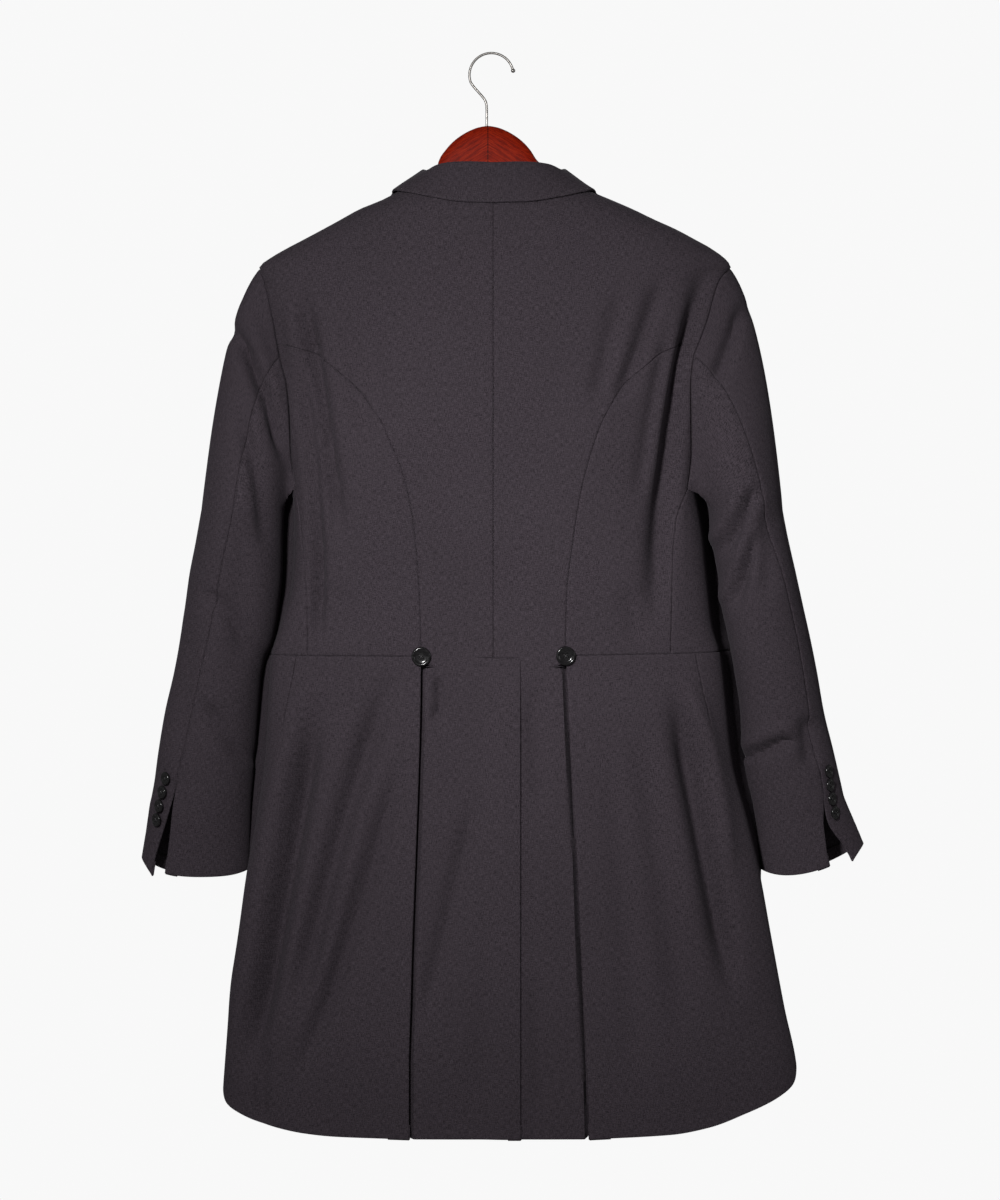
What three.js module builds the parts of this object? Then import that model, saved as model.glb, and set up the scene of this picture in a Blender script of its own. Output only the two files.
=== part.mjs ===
// A morning coat in fine wool, hanging from a wooden hanger with a wire hook.
// Millimetres, +Z up. The back of the coat faces -Y, the wearer's right is +X.
// The origin is the point inside the hook that rests on the rail.
import * as THREE from "three";

// ---------------------------------------------------------------- driving dimensions
const CLOTH = 2; // wall of the wool
const SEAM = 0.3; // gap at every seam
const LAP = 2.9; // one layer of cloth and its gap, where a panel laps another
const SQUARENESS = 2.5; // exponent of the body's rings: 2 is an ellipse, more is boxier
const WAIST_Z = -632; // waist seam at the centre back
const WAIST_RISE = { left: 2, right: 6 }; // how far the seam climbs to each side
const HEM_Z = -1132;
const VENT_LAP = 28; // the left tail reaches this far over the right one
const FRONT_LAP = 14; // each front reaches this far past the centre
const VENT_STEP = 1; // the vent's lap starts this far below the waist
const PLEAT_UNDERLAP = 38; // tail cloth hidden under the skirt's pleat edge
const PLEAT_SINK = 4.2; // depth of the tail under the skirt at the pleat
const PLEAT_TOP_Z = -644; // the underlap comes in from here
const BLEND = 20; // length over which a lap or an underlap comes in
const BACK_NECK_Z = -143;
const NECK_POINT_Z = -134;
const TIP_Z = -224; // shoulder tip
const SHOULDER_THETA = 95; // the shoulder seam runs just in front of the ridge
const COLLAR_CLOTH = 2.4;
const COLLAR_ROLL = 2.3; // radius of the collar's fold
const COLLAR_INSET = 5.3; // the stand sits just inside the neck edge
const ROLL_INSET = 1.5; // and further inside where it meets the roll line
const COLLAR_LIFT = 3.8; // middle of the fall above the body
const WAIST_BUTTON = { diameter: 20.3, height: 3.6 };
const CUFF_BUTTON = { diameter: 14.2, height: 3.2 };
const WIRE = 1.5; // radius of the hook's wire
const HOOK_RADIUS = 23.1; // centre line of the hook's arc
const HOOK_CENTRE_X = -2.3;
const HANGER_CENTRE = -6;

const SIGN = { left: -1, right: 1 };
const SIDES = ["left", "right"];

// A short table with named columns.
const table = (columns, rows) => {
  const names = columns.split(" ");
  return rows.map((row) => Object.fromEntries(names.map((name, i) => [name, row[i]])));
};

// Rings of the body: half widths to each side, and depths of the back and the front.
const RINGS = table("z left right back front", [
  [-134, 80, 80, 43, 40],
  [-143, 98, 97, 46, 44],
  [-153, 117, 122, 49, 48],
  [-163, 140, 146, 51.5, 51],
  [-174, 160, 169, 54, 54],
  [-184, 179, 191, 56, 56],
  [-195, 200, 212, 58, 58],
  [-205, 219, 230, 60, 61],
  [-216, 237, 244, 62, 64],
  [-224, 246, 249, 63, 66],
  [-250, 243, 244, 67, 71],
  [-300, 234, 231, 71, 78],
  [-350, 226, 221, 73, 84],
  [-400, 220, 215, 73, 86],
  [-450, 212, 212, 70, 85],
  [-500, 209, 219, 65, 79],
  [-550, 211, 224, 59, 71],
  [-600, 223, 230, 54, 62],
  [-632, 233, 239, 52, 58],
  [-680, 236, 244, 53, 58],
  [-740, 239, 250, 55, 59],
  [-800, 246, 265, 57, 60],
  [-860, 257, 279, 59, 61],
  [-930, 265, 292, 60, 61],
  [-1000, 274, 305, 61, 60],
  [-1060, 282, 318, 61, 58],
  [-1134, 287, 324, 60, 55],
]);

// The unbuttoned fronts hang boxier and wider than the back: how far they flare out beside it.
const FLARE = table("z left right", [
  [-458, 0, 0],
  [-478, 7, 7],
  [-500, 13, 9],
  [-520, 14, 9],
  [-545, 11, 10],
  [-580, 6, 11],
  [-615, 4, 12],
  [-632, 4, 12],
  [-650, 9, 12],
  [-690, 11, 13],
  [-730, 11, 11],
  [-764, 11, 11],
  [-790, 8, 8],
  [-825, 4, 5],
  [-864, 0, 0],
]);
const FLARE_FROM = 2; // depth in front of the centre at which the flare begins
const FLARE_RUN = 26;
const FRONT_SQUARENESS = table("z exponent", [
  [-470, 2.5],
  [-530, 4],
  [-580, 6],
  [-820, 6],
  [-900, 2.5],
]);

// Back edge of the armhole from the shoulder tip down: distance from the centre plane.
const ARMHOLE_BACK = table("z left right", [
  [-237, 241, 237],
  [-252, 237, 231],
  [-278, 231, 224],
  [-306, 226, 214],
]);
const ARMHOLE_SIDE = table("z left right", [
  [-308, 225.4, 212.9],
  [-320, 223.5, 209],
  [-350, 216, 206],
  [-384, 213, 206.5],
  [-420, 212, 207],
  [-458, 207.5, 203],
]);
// Front edge of the armhole from the shoulder tip down and under the arm.
const ARMHOLE_FRONT = table("theta z", [
  [99, -236],
  [104, -258],
  [109, -295],
  [112, -335],
  [112, -375],
  [109, -410],
  [104, -434],
  [97, -447],
  [88, -453],
]);
// Curved back seam from the armhole to the waist button, and the pleat edge below it.
const BACK_SEAM = table("z left right", [
  [-308.5, 210, 197],
  [-312, 200, 185],
  [-318, 187, 173],
  [-327, 173, 162],
  [-339, 158, 148],
  [-353, 143, 134],
  [-371, 129, 122],
  [-390, 115.5, 112],
  [-412, 106, 104],
  [-436, 96, 97],
  [-465, 88, 90],
  [-510, 81, 83],
  [-572, 76.5, 76],
]);
const SIDE_SEAM = table("z left right", [
  [-485, 203, 193.5],
  [-515, 200, 189.5],
  [-550, 197.5, 187.5],
  [-590, 195, 186],
]);
const PLEAT = table("z left right", [
  [-632, 75, 75],
  [-700, 76, 78.5],
  [-770, 78, 82.5],
  [-850, 81, 87],
  [-930, 84, 90.5],
  [-1000, 86, 94],
  [-1060, 87.5, 97],
  [-1132, 87.5, 99.5],
]);
// Cutaway front edge of the skirts, as an angle round the body: 180 is the centre front.
const CUTAWAY = table("z theta", [
  [-632, 178],
  [-660, 171],
  [-700, 163],
  [-750, 156],
  [-800, 149],
  [-860, 141],
  [-930, 130],
  [-1000, 117],
  [-1050, 105],
  [-1085, 93],
]);
const CORNER_Z = { left: -1076, right: -1052 };
// The hem rises towards the corner of the skirt: share of the way along, and rise.
const HEM_RISE = table("share left right", [
  [0, 0, 0],
  [0.2, 2, 4],
  [0.3, 5, 10.5],
  [0.43, 12.5, 25],
  [0.6, 24, 41.5],
  [0.76, 34, 55],
  [0.86, 43, 67],
  [1, 56, 80],
]);
// Roll line and front edge of a forepart: distance from the centre plane.
const FRONT_EDGE = table("z x", [
  [-165, 76],
  [-200, 70],
  [-260, 61],
  [-320, 51],
  [-380, 41],
  [-440, 31],
  [-500, 22],
  [-550, 13],
  [-578, 5],
  [-602, -8],
  [-628, -FRONT_LAP],
]);
const LAPEL_EDGE = table("z x", [
  [-222, 158],
  [-245, 150],
  [-300, 128],
  [-360, 107],
  [-420, 88],
  [-480, 67],
  [-530, 38],
  [-548, 23],
]);
const ROLL_TOP_Z = -165;
const LAPEL_TOP_Z = -205;
const LAPEL_FOOT_Z = -554;
const LAPEL_LIFT = 1.2;

// Main folds of the body: a line on the back, its half width, and its depth (ridges below 0).
const FOLDS = table("side x1 z1 x2 z2 width depth", [
  ["right", 214, -250, 176, -575, 13, 6],
  ["left", 200, -300, 174, -520, 12, 3],
  ["left", 190, -715, 253, -1045, 17, 7],
  ["left", 115, -675, 203, -985, 17, 5],
  ["left", 118, -800, 199, -1050, 14, 4],
  ["left", 214, -690, 268, -1000, 16, -4],
  ["right", 194, -690, 246, -960, 17, 6],
  ["right", 206, -670, 243, -850, 13, -4],
]);
const FOLD_FADE = 0.3; // share of a fold's length over which each end dies away

// Rings of the sleeves: inner and outer edge, centre in depth, and half depth.
const SLEEVES = table("z innerLeft outerLeft innerRight outerRight centre depth", [
  [-478, 219.5, 307, 226, 304, 4, 60],
  [-510, 221, 313, 229, 310, 5, 57],
  [-545, 222, 320, 236, 318, 7, 54],
  [-580, 226, 325, 240, 326, 10, 51],
  [-615, 232, 331, 247.5, 334, 13, 48],
  [-650, 244, 337, 254, 341, 16, 46],
  [-690, 248, 346, 260, 348, 19, 43],
  [-730, 251, 353, 262, 358, 22, 40],
  [-764, 254, 358, 268, 366, 24, 37],
  [-790, 256, 363, 274, 372, 25, 35],
  [-825, 257, 367, 279, 381, 26, 32],
  [-864, 258, 372, 282, 391, 27, 30],
]);
const FAN = [0.12, 0.3, 0.5, 0.72]; // rings between the armhole and the first level ring
const FAN_LEAD = { x: 0.37, y: 0.4, z: 0.175 }; // how far the cloth leaves the armhole before it falls
const HIND_SEAM = 112; // angle of the hind-arm seam round the sleeve, 90 is straight back
const FORE_SEAM = 318;
const FORE_POINT = 6; // point of the front armhole, from the tip, where the forearm seam starts
const VENT_TOP_Z = -764;
// How far each edge of the vent turns from the seam at the cuff.
const VENT_OPEN = { left: { flap: 22, under: 1.5 }, right: { flap: 22, under: -7.5 } };
const CUFF_RISE = { left: 18, right: 33 };
// How far the hind-arm seam leans outward from its angle.
const SEAM_LEAN = table("z left right", [
  [-478, 0, 0],
  [-530, -7, 15],
  [-594, -2.5, 18],
  [-680, 1, 16],
  [-764, 8.5, 13],
  [-825, 8.5, 3],
  [-864, 8.5, 3],
]);
const CUFF_BUTTONS = table("zLeft left zRight right", [
  [-760, 135.5, -752.5, 136],
  [-774.5, 137.5, -767, 133],
  [-789, 139, -781.5, 131],
  [-803.5, 140.5, -796, 131],
]);
const CUFF_SEAT = 1.2;
const CUFF_TILT = { left: 0.25, right: 0.25 };
const WAIST_BUTTON_SEAT = 0.75;
const FRONT_BUTTON = { z: -600, seat: LAP - 0.3 };

// Collar stations from the centre back: 0 to 1 round the back neck, 1 to 2 round the front neck,
// then down the roll line. The fold lies from the seam along the cloth (rise) and off it (stand).
const COLLAR = table("along rise stand edgeTheta edgeZ", [
  [0, 26, 3, 0, -161],
  [0.21, 25.5, 3, 14, -160],
  [0.44, 24, 3, 30, -155],
  [0.69, 20, 4, 50, -149.5],
  [0.95, 15.5, 5, 76, -146.5],
  [1.2, 13, 4, 103, -147.5],
  [1.42, 10, 3.2, 124, -159],
  [1.65, 8, 2.4, 136, -172],
  [1.84, 8, 2.6, 140.5, -180],
  [2, 8, 2.8, 144.5, -188],
  [2.15, 7.5, 2.6, 149, -197],
  [2.31, 7, 2.6, 151, -204],
]);

// The hanger's round middle, then its arms: distance from the centre plane, and how far the
// arm's top lies below the shoulder ridge.
const DOME = table("x z", [
  [0, -75],
  [9, -76.3],
  [18, -79.5],
  [28, -85],
  [37, -92],
  [45, -101],
  [51.5, -111],
]);
const DOME_FOOT = { z: -146, slope: 0.12, wide: 11 };
const ARMS = table("x below", [
  [60, -11],
  [68, -3],
  [77, 9],
  [88, 8],
  [102, 5.5],
  [125, 3.6],
  [150, 3.1],
  [175, 3.1],
  [200, 3.1],
  [214, 3.1],
]);
const ARM_ROOT = { x: 60, tall: 26, wide: 11, low: -152 };
const ARM_TIP = { x: 210, tall: 15, wide: 15, round: 4 };
const HOOK_FOOT = table("x z", [
  [-7.2, -75.5],
  [-7.2, -66],
  [-7.2, -54],
  [-8.6, -48],
  [-14.5, -41],
  [-20.5, -34.5],
]);
const HOOK_END = table("step radius", [
  [1, 2.3],
  [2.6, 2.9],
  [4.2, 2.3],
  [5.2, 0.8],
]);

// ---------------------------------------------------------------- curves and the body's skin
// Smooth value of a column at z, through the rows of a table (monotone cubic).
function at(rows, column, z, key = "z") {
  const n = rows.length;
  const down = rows[0][key] > rows[n - 1][key];
  const t = down ? -z : z;
  const xs = rows.map((r) => (down ? -r[key] : r[key]));
  if (t <= xs[0]) return rows[0][column];
  if (t >= xs[n - 1]) return rows[n - 1][column];
  const slope = (i) => (rows[i + 1][column] - rows[i][column]) / (xs[i + 1] - xs[i]);
  const tangent = (i) => {
    if (i === 0) return slope(0);
    if (i === n - 1) return slope(n - 2);
    const [a, b] = [slope(i - 1), slope(i)];
    return a * b <= 0 ? 0 : (2 * a * b) / (a + b);
  };
  const i = xs.findIndex((x, k) => k < n - 1 && t < xs[k + 1]);
  const h = xs[i + 1] - xs[i];
  const s = (t - xs[i]) / h;
  const [p, q, m, k] = [rows[i][column], rows[i + 1][column], tangent(i) * h, tangent(i + 1) * h];
  return (
    p * (2 * s ** 3 - 3 * s ** 2 + 1) +
    m * (s ** 3 - 2 * s ** 2 + s) +
    q * (3 * s ** 2 - 2 * s ** 3) +
    k * (s ** 3 - s ** 2)
  );
}
const lerp = (a, b, t) => a + (b - a) * t;
const smooth = (t) => {
  const s = Math.min(1, Math.max(0, t));
  return s * s * (3 - 2 * s);
};
const radians = (degrees) => (degrees * Math.PI) / 180;

// Angle round the body (0 centre back, 90 side) of a point at distance x from the centre plane.
function thetaAt(side, x, z) {
  const share = Math.min(0.9995, Math.abs(x) / at(RINGS, side, z)) ** SQUARENESS;
  const angle = Math.atan((share / (1 - share)) ** (1 / SQUARENESS));
  return (Math.sign(x) * angle * 180) / Math.PI;
}
const frontTheta = (side, x, z) => 180 - thetaAt(side, x, z);

// The plain skin, without folds.
function ring(side, theta, z) {
  const s = Math.sin(radians(theta));
  const c = Math.cos(radians(theta));
  const power = c > 0 ? SQUARENESS : at(FRONT_SQUARENESS, "exponent", z);
  const k = (Math.abs(s) ** power + Math.abs(c) ** power) ** (-1 / power);
  const y = -at(RINGS, c > 0 ? "back" : "front", z) * c * k;
  const flare = at(FLARE, side, z) * smooth((y - FLARE_FROM) / FLARE_RUN);
  return new THREE.Vector3(SIGN[side] * (at(RINGS, side, z) + flare) * s * k, y, z);
}
function skinNormal(side, theta, z) {
  const around = ring(side, theta + 0.5, z).sub(ring(side, theta - 0.5, z));
  const along = ring(side, theta, z + 0.5).sub(ring(side, theta, z - 0.5));
  return around.cross(along).normalize().multiplyScalar(SIGN[side]);
}
// How far the main folds push the cloth out (or in, below 0).
function foldHeight(side, point) {
  if (point.y > 0) return 0;
  let height = 0;
  for (const fold of FOLDS.filter((f) => f.side === side)) {
    const [dx, dz] = [fold.x2 - fold.x1, fold.z2 - fold.z1];
    const [px, pz] = [Math.abs(point.x) - fold.x1, point.z - fold.z1];
    const along = (px * dx + pz * dz) / (dx * dx + dz * dz);
    const across = (px * dz - pz * dx) / Math.hypot(dx, dz) / fold.width;
    const fade = smooth(along / FOLD_FADE + 0.3) * smooth((1 - along) / FOLD_FADE + 0.3);
    height -= fold.depth * fade * Math.exp(-across * across);
  }
  return height;
}
// A point of the skin with its folds, moved out by lift.
function skin(side, theta, z, lift = 0) {
  const point = ring(side, theta, z);
  return point.addScaledVector(skinNormal(side, theta, z), foldHeight(side, point) + lift);
}
const waistZ = (side, theta) => WAIST_Z + (WAIST_RISE[side] * Math.min(90, Math.abs(theta))) / 90;

// Lift of the left piece where it laps the right one: 0 on its own side, a layer past the centre.
const lapLift = (x) => LAP * smooth((x + 15) / 30);
const lapFor = (side, x) => (side === "left" ? lapLift(x) : lapLift(x) - LAP);
// The same lap where the fronts close, and none elsewhere.
const CLOSURE = { x: 20, top: -480, bottom: -660 };
function frontLap(side, point) {
  const near = point.y > 0 && Math.abs(point.x) < CLOSURE.x;
  return near && point.z < CLOSURE.top && point.z > CLOSURE.bottom ? lapFor(side, point.x) : 0;
}

// ---------------------------------------------------------------- closed solids
function geometry(vertices, faces) {
  let volume = 0;
  for (const [a, b, c] of faces) {
    volume += vertices[a].dot(vertices[b].clone().cross(vertices[c]));
  }
  const index = volume < 0 ? faces.map(([a, b, c]) => [a, c, b]) : faces;
  const made = new THREE.BufferGeometry().setFromPoints(vertices);
  made.setIndex(index.flat());
  made.computeVertexNormals();
  return made;
}
// A sheet of cloth: an outer and an inner grid of points, closed round its four edges.
function slab(outer, inner) {
  const rows = outer.length;
  const columns = outer[0].length;
  const vertices = [...outer.flat(), ...inner.flat()];
  const id = (layer, i, j) => layer * rows * columns + i * columns + j;
  const faces = [];
  const quad = (a, b, c, d) => faces.push([a, b, c], [a, c, d]);
  for (let i = 0; i < rows - 1; i++) {
    for (let j = 0; j < columns - 1; j++) {
      quad(id(0, i, j), id(0, i, j + 1), id(0, i + 1, j + 1), id(0, i + 1, j));
      quad(id(1, i, j), id(1, i + 1, j), id(1, i + 1, j + 1), id(1, i, j + 1));
    }
    quad(id(0, i, 0), id(0, i + 1, 0), id(1, i + 1, 0), id(1, i, 0));
    const end = columns - 1;
    quad(id(0, i + 1, end), id(0, i, end), id(1, i, end), id(1, i + 1, end));
  }
  for (let j = 0; j < columns - 1; j++) {
    quad(id(0, 0, j + 1), id(0, 0, j), id(1, 0, j), id(1, 0, j + 1));
    const end = rows - 1;
    quad(id(0, end, j), id(0, end, j + 1), id(1, end, j + 1), id(1, end, j));
  }
  return geometry(vertices, faces);
}
// A solid through closed rings of equal length, with flat ends.
function loft(rings) {
  const count = rings[0].length;
  const vertices = rings.flat();
  const faces = [];
  for (let i = 0; i < rings.length - 1; i++) {
    for (let j = 0; j < count; j++) {
      const next = (j + 1) % count;
      const [a, b] = [i * count + j, i * count + next];
      faces.push([a, b, b + count], [a, b + count, a + count]);
    }
  }
  const last = (rings.length - 1) * count;
  for (let j = 1; j < count - 1; j++) {
    faces.push([0, j + 1, j], [last, last + j, last + j + 1]);
  }
  return geometry(vertices, faces);
}
// Moves the edge points of a grid back from the seams by half the gap.
function pullBack(grid, edges) {
  const rows = grid.length - 1;
  const columns = grid[0].length - 1;
  const moved = grid.map((row) => row.map((p) => p.clone()));
  const inward = (i, j, ti, tj, ni, nj) => {
    const clampI = (k) => Math.min(rows, Math.max(0, k));
    const clampJ = (k) => Math.min(columns, Math.max(0, k));
    const behind = grid[clampI(i - ti)][clampJ(j - tj)];
    const run = grid[clampI(i + ti)][clampJ(j + tj)].clone().sub(behind);
    const inside = grid[i + ni][j + nj].clone().sub(grid[i][j]);
    inside.addScaledVector(run, -inside.dot(run) / run.lengthSq());
    moved[i][j].addScaledVector(inside.normalize(), SEAM / 2);
  };
  for (let i = 0; i <= rows; i++) {
    if (edges.includes("start")) inward(i, 0, 1, 0, 0, 1);
    if (edges.includes("end")) inward(i, columns, 1, 0, 0, -1);
  }
  for (let j = 0; j <= columns; j++) {
    if (edges.includes("top")) inward(0, j, 0, 1, 1, 0);
    if (edges.includes("bottom")) inward(rows, j, 0, 1, -1, 0);
  }
  return moved;
}
// The cloth behind an outer grid: the same grid moved in by the wall, along the normals.
const wall = (grid, normals) =>
  slab(
    grid,
    grid.map((row, i) => row.map((p, j) => p.clone().addScaledVector(normals[i][j], -CLOTH))),
  );
// A body panel between two edges of equal length, each a list of [theta, z]. The top and
// bottom rows may bend away from straight, and lift(point, row) moves a layer out or in.
function panel(side, start, end, columns, options = {}) {
  const last = start.length - 1;
  const { top, bottom, lift = () => 0, edges = "start end top bottom", base = 0, crowd = 1 } = options;
  const theta = options.theta ?? ((i, u) => lerp(start[i][0], end[i][0], u));
  const bent = (i, u) => {
    const share = i / last;
    const straight = (k) => lerp(start[k][1], end[k][1], u);
    const bendTop = top ? top(u, theta(0, u)) - straight(0) : 0;
    const bendBottom = bottom ? bottom(u, theta(last, u)) - straight(last) : 0;
    const topShare = Math.max(0, 1 - share * 4);
    const bottomShare = Math.max(0, share * 3 - 2);
    return straight(i) + topShare * bendTop + bottomShare * bendBottom;
  };
  const height = options.height ?? bent;
  const outer = [];
  const normals = [];
  for (let i = 0; i <= last; i++) {
    outer.push([]);
    normals.push([]);
    for (let j = 0; j <= columns; j++) {
      const u = (j / columns) ** crowd;
      const [t, z] = [theta(i, u), height(i, u)];
      const point = skin(side, t, z, base);
      const normal = skinNormal(side, t, z);
      normals[i].push(normal);
      outer[i].push(point.addScaledVector(normal, lift(point, i)));
    }
  }
  return wall(pullBack(outer, edges), normals);
}

// ---------------------------------------------------------------- materials and the group
const finish = (color, roughness, metalness) => () =>
  new THREE.MeshStandardMaterial({ color, roughness, metalness });
const wool = finish(0x3b353c, 0.95, 0);
const horn = finish(0x0c0b0c, 0.2, 0);
const wood = finish(0x6e2a12, 0.3, 0);
const steel = finish(0x9a9a9a, 0.3, 1);
const coat = new THREE.Group();
function add(name, shape, material) {
  const mesh = new THREE.Mesh(shape, material);
  mesh.name = name;
  coat.add(mesh);
  return mesh;
}

// ---------------------------------------------------------------- edges shared by the panels
const UNDERARM_Z = ARMHOLE_SIDE.at(-1).z;
const onBack = (side, rows) => rows.map((r) => [thetaAt(side, r[side], r.z), r.z]);
const tip = [SHOULDER_THETA, TIP_Z];
const shoulder = [NECK_POINT_Z, -153, -174, -195, -211].map((z) => [SHOULDER_THETA, z]);
const backArmhole = (side) => onBack(side, ARMHOLE_BACK);
const sideArmhole = (side) => onBack(side, ARMHOLE_SIDE);
const frontArmhole = ARMHOLE_FRONT.map((r) => [r.theta, r.z]);
const waistOn = (side, x) => {
  const theta = thetaAt(side, x, WAIST_Z);
  return [theta, waistZ(side, theta)];
};
const backSeam = (side) => [...onBack(side, BACK_SEAM), waistOn(side, PLEAT[0][side])];
const sideSeam = (side) => [...onBack(side, SIDE_SEAM), waistOn(side, SIDE_SEAM.at(-1)[side] - 0.5)];

// ---------------------------------------------------------------- centre backs with their tails
function addBack(side) {
  const tailZ = [-640, -654, -700, -770, -850, -930, -1000, -1060, -1100, HEM_Z];
  const reach = (z) => {
    const under = PLEAT_UNDERLAP * smooth((PLEAT_TOP_Z - z) / BLEND);
    return at(PLEAT, side, z) - SEAM / 2 + under;
  };
  const tail = tailZ.map((z) => [thetaAt(side, reach(z), z), z]);
  const end = [...shoulder, tip, ...backArmhole(side), ...backSeam(side), ...tail];
  const inner = side === "left" ? VENT_LAP : -VENT_LAP;
  const start = end.map(([, z], i) => {
    if (i === 0) return [0, BACK_NECK_Z];
    if (i < shoulder.length) return [0, lerp(BACK_NECK_Z, TIP_Z, i / shoulder.length)];
    if (i < end.length - tail.length) return [0, z];
    const lap = i === end.length - tail.length ? 0 : inner;
    return [thetaAt(side, SIGN[side] * lap, z), z];
  });
  // the seam above the vent stays level, and the lap starts below it
  const vent = end.length - tail.length;
  const step = WAIST_Z - VENT_STEP;
  start[vent - 1] = [0, WAIST_Z + 6 * VENT_STEP];
  start[vent] = [0, WAIST_Z];
  start[vent + 1] = [thetaAt(side, SIGN[side] * inner, step), step];
  const lift = (point, row) => {
    const pleat = at(PLEAT, side, point.z);
    const sink = PLEAT_SINK * smooth((Math.abs(point.x) - pleat + 1.1 * BLEND) / BLEND);
    return row < vent ? 0 : lapFor(side, point.x) - sink;
  };
  const shape = panel(side, start, end, 8, { lift });
  add("back_" + side, shape, wool());
}

// ---------------------------------------------------------------- side bodies
function addSideBody(side) {
  const start = backSeam(side);
  const outer = [...sideArmhole(side), ...sideSeam(side)];
  // the outer edge has fewer points than the curved seam: put points half way along its longest runs
  const underarm = ARMHOLE_SIDE.length - 1;
  while (outer.length < start.length) {
    const runs = outer.slice(underarm + 1).map((p, i) => outer[underarm + i][1] - p[1]);
    const longest = underarm + runs.indexOf(Math.max(...runs));
    const [a, b] = [outer[longest], outer[longest + 1]];
    outer.splice(longest + 1, 0, [(a[0] + b[0]) / 2, (a[1] + b[1]) / 2]);
  }
  add("side_body_" + side, panel(side, start, outer, 5), wool());
  return outer;
}

// ---------------------------------------------------------------- foreparts
function addForepart(side, sideEdge) {
  const below = sideEdge.slice(sideEdge.findIndex(([, z]) => z <= UNDERARM_Z));
  const start = [...shoulder, tip, ...frontArmhole, ...below];
  const last = start.length - 1;
  const [highest, lowest] = [start[0][1], start[last][1]];
  const end = start.map(([, z], i) => {
    const share = (z - highest) / (lowest - highest);
    const level = i === last ? waistZ(side, 90) : lerp(ROLL_TOP_Z, FRONT_EDGE.at(-1).z, share);
    return [frontTheta(side, at(FRONT_EDGE, "x", level), level), level];
  });
  // the top row follows the round of the neck, which fades out over the rows below it
  const theta = (i, u) => {
    const bend = frontNeck(side, u)[0] - lerp(start[0][0], end[0][0], u);
    return lerp(start[i][0], end[i][0], u) + bend * Math.max(0, 1 - i / shoulder.length);
  };
  const height = (i, u) => {
    if (i === 0) return frontNeck(side, u)[1];
    return i === last ? waistZ(side, theta(i, u)) : lerp(start[i][1], end[i][1], u);
  };
  const lift = (point) => frontLap(side, point);
  add("forepart_" + side, panel(side, start, end, 9, { theta, height, lift }), wool());
}

// ---------------------------------------------------------------- lapels
function addLapel(side) {
  const steps = 9;
  const start = [];
  const end = [];
  for (let i = 0; i <= steps; i++) {
    const z = lerp(LAPEL_TOP_Z, LAPEL_FOOT_Z, i / steps);
    const zEdge = lerp(LAPEL_EDGE[0].z, LAPEL_EDGE.at(-1).z, i / steps);
    start.push([frontTheta(side, at(FRONT_EDGE, "x", z) + 0.5, z), z]);
    end.push([frontTheta(side, at(LAPEL_EDGE, "x", zEdge), zEdge), zEdge]);
  }
  const lift = (point) => frontLap(side, point);
  const shape = panel(side, start, end, 5, { lift, base: LAPEL_LIFT + CLOTH, edges: "start" });
  add("lapel_" + side, shape, wool());
}

// ---------------------------------------------------------------- skirts
function addSkirt(side) {
  const rows = [WAIST_Z, -652, -700, -770, -850, -930, -1000, -1060, -1100, HEM_Z];
  const start = rows.map((z, i) => {
    const level = i === 0 ? waistOn(side, PLEAT[0][side])[1] : z;
    return [thetaAt(side, at(PLEAT, side, z) + SEAM / 2, z), level];
  });
  const end = rows.map((z, i) => {
    if (i === 0) return [frontTheta(side, -FRONT_LAP, WAIST_Z), waistZ(side, 90)];
    const share = (z - WAIST_Z) / (HEM_Z - WAIST_Z);
    const cut = lerp(WAIST_Z, CUTAWAY.at(-1).z, share);
    return [at(CUTAWAY, "theta", cut), lerp(WAIST_Z, CORNER_Z[side], share)];
  });
  const bottom = (u) => HEM_Z + at(HEM_RISE, side, u, "share");
  const top = (u, theta) => waistZ(side, theta);
  const lift = (point) => frontLap(side, point);
  add("skirt_" + side, panel(side, start, end, 18, { top, bottom, lift, crowd: 1.3 }), wool());
}

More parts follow.
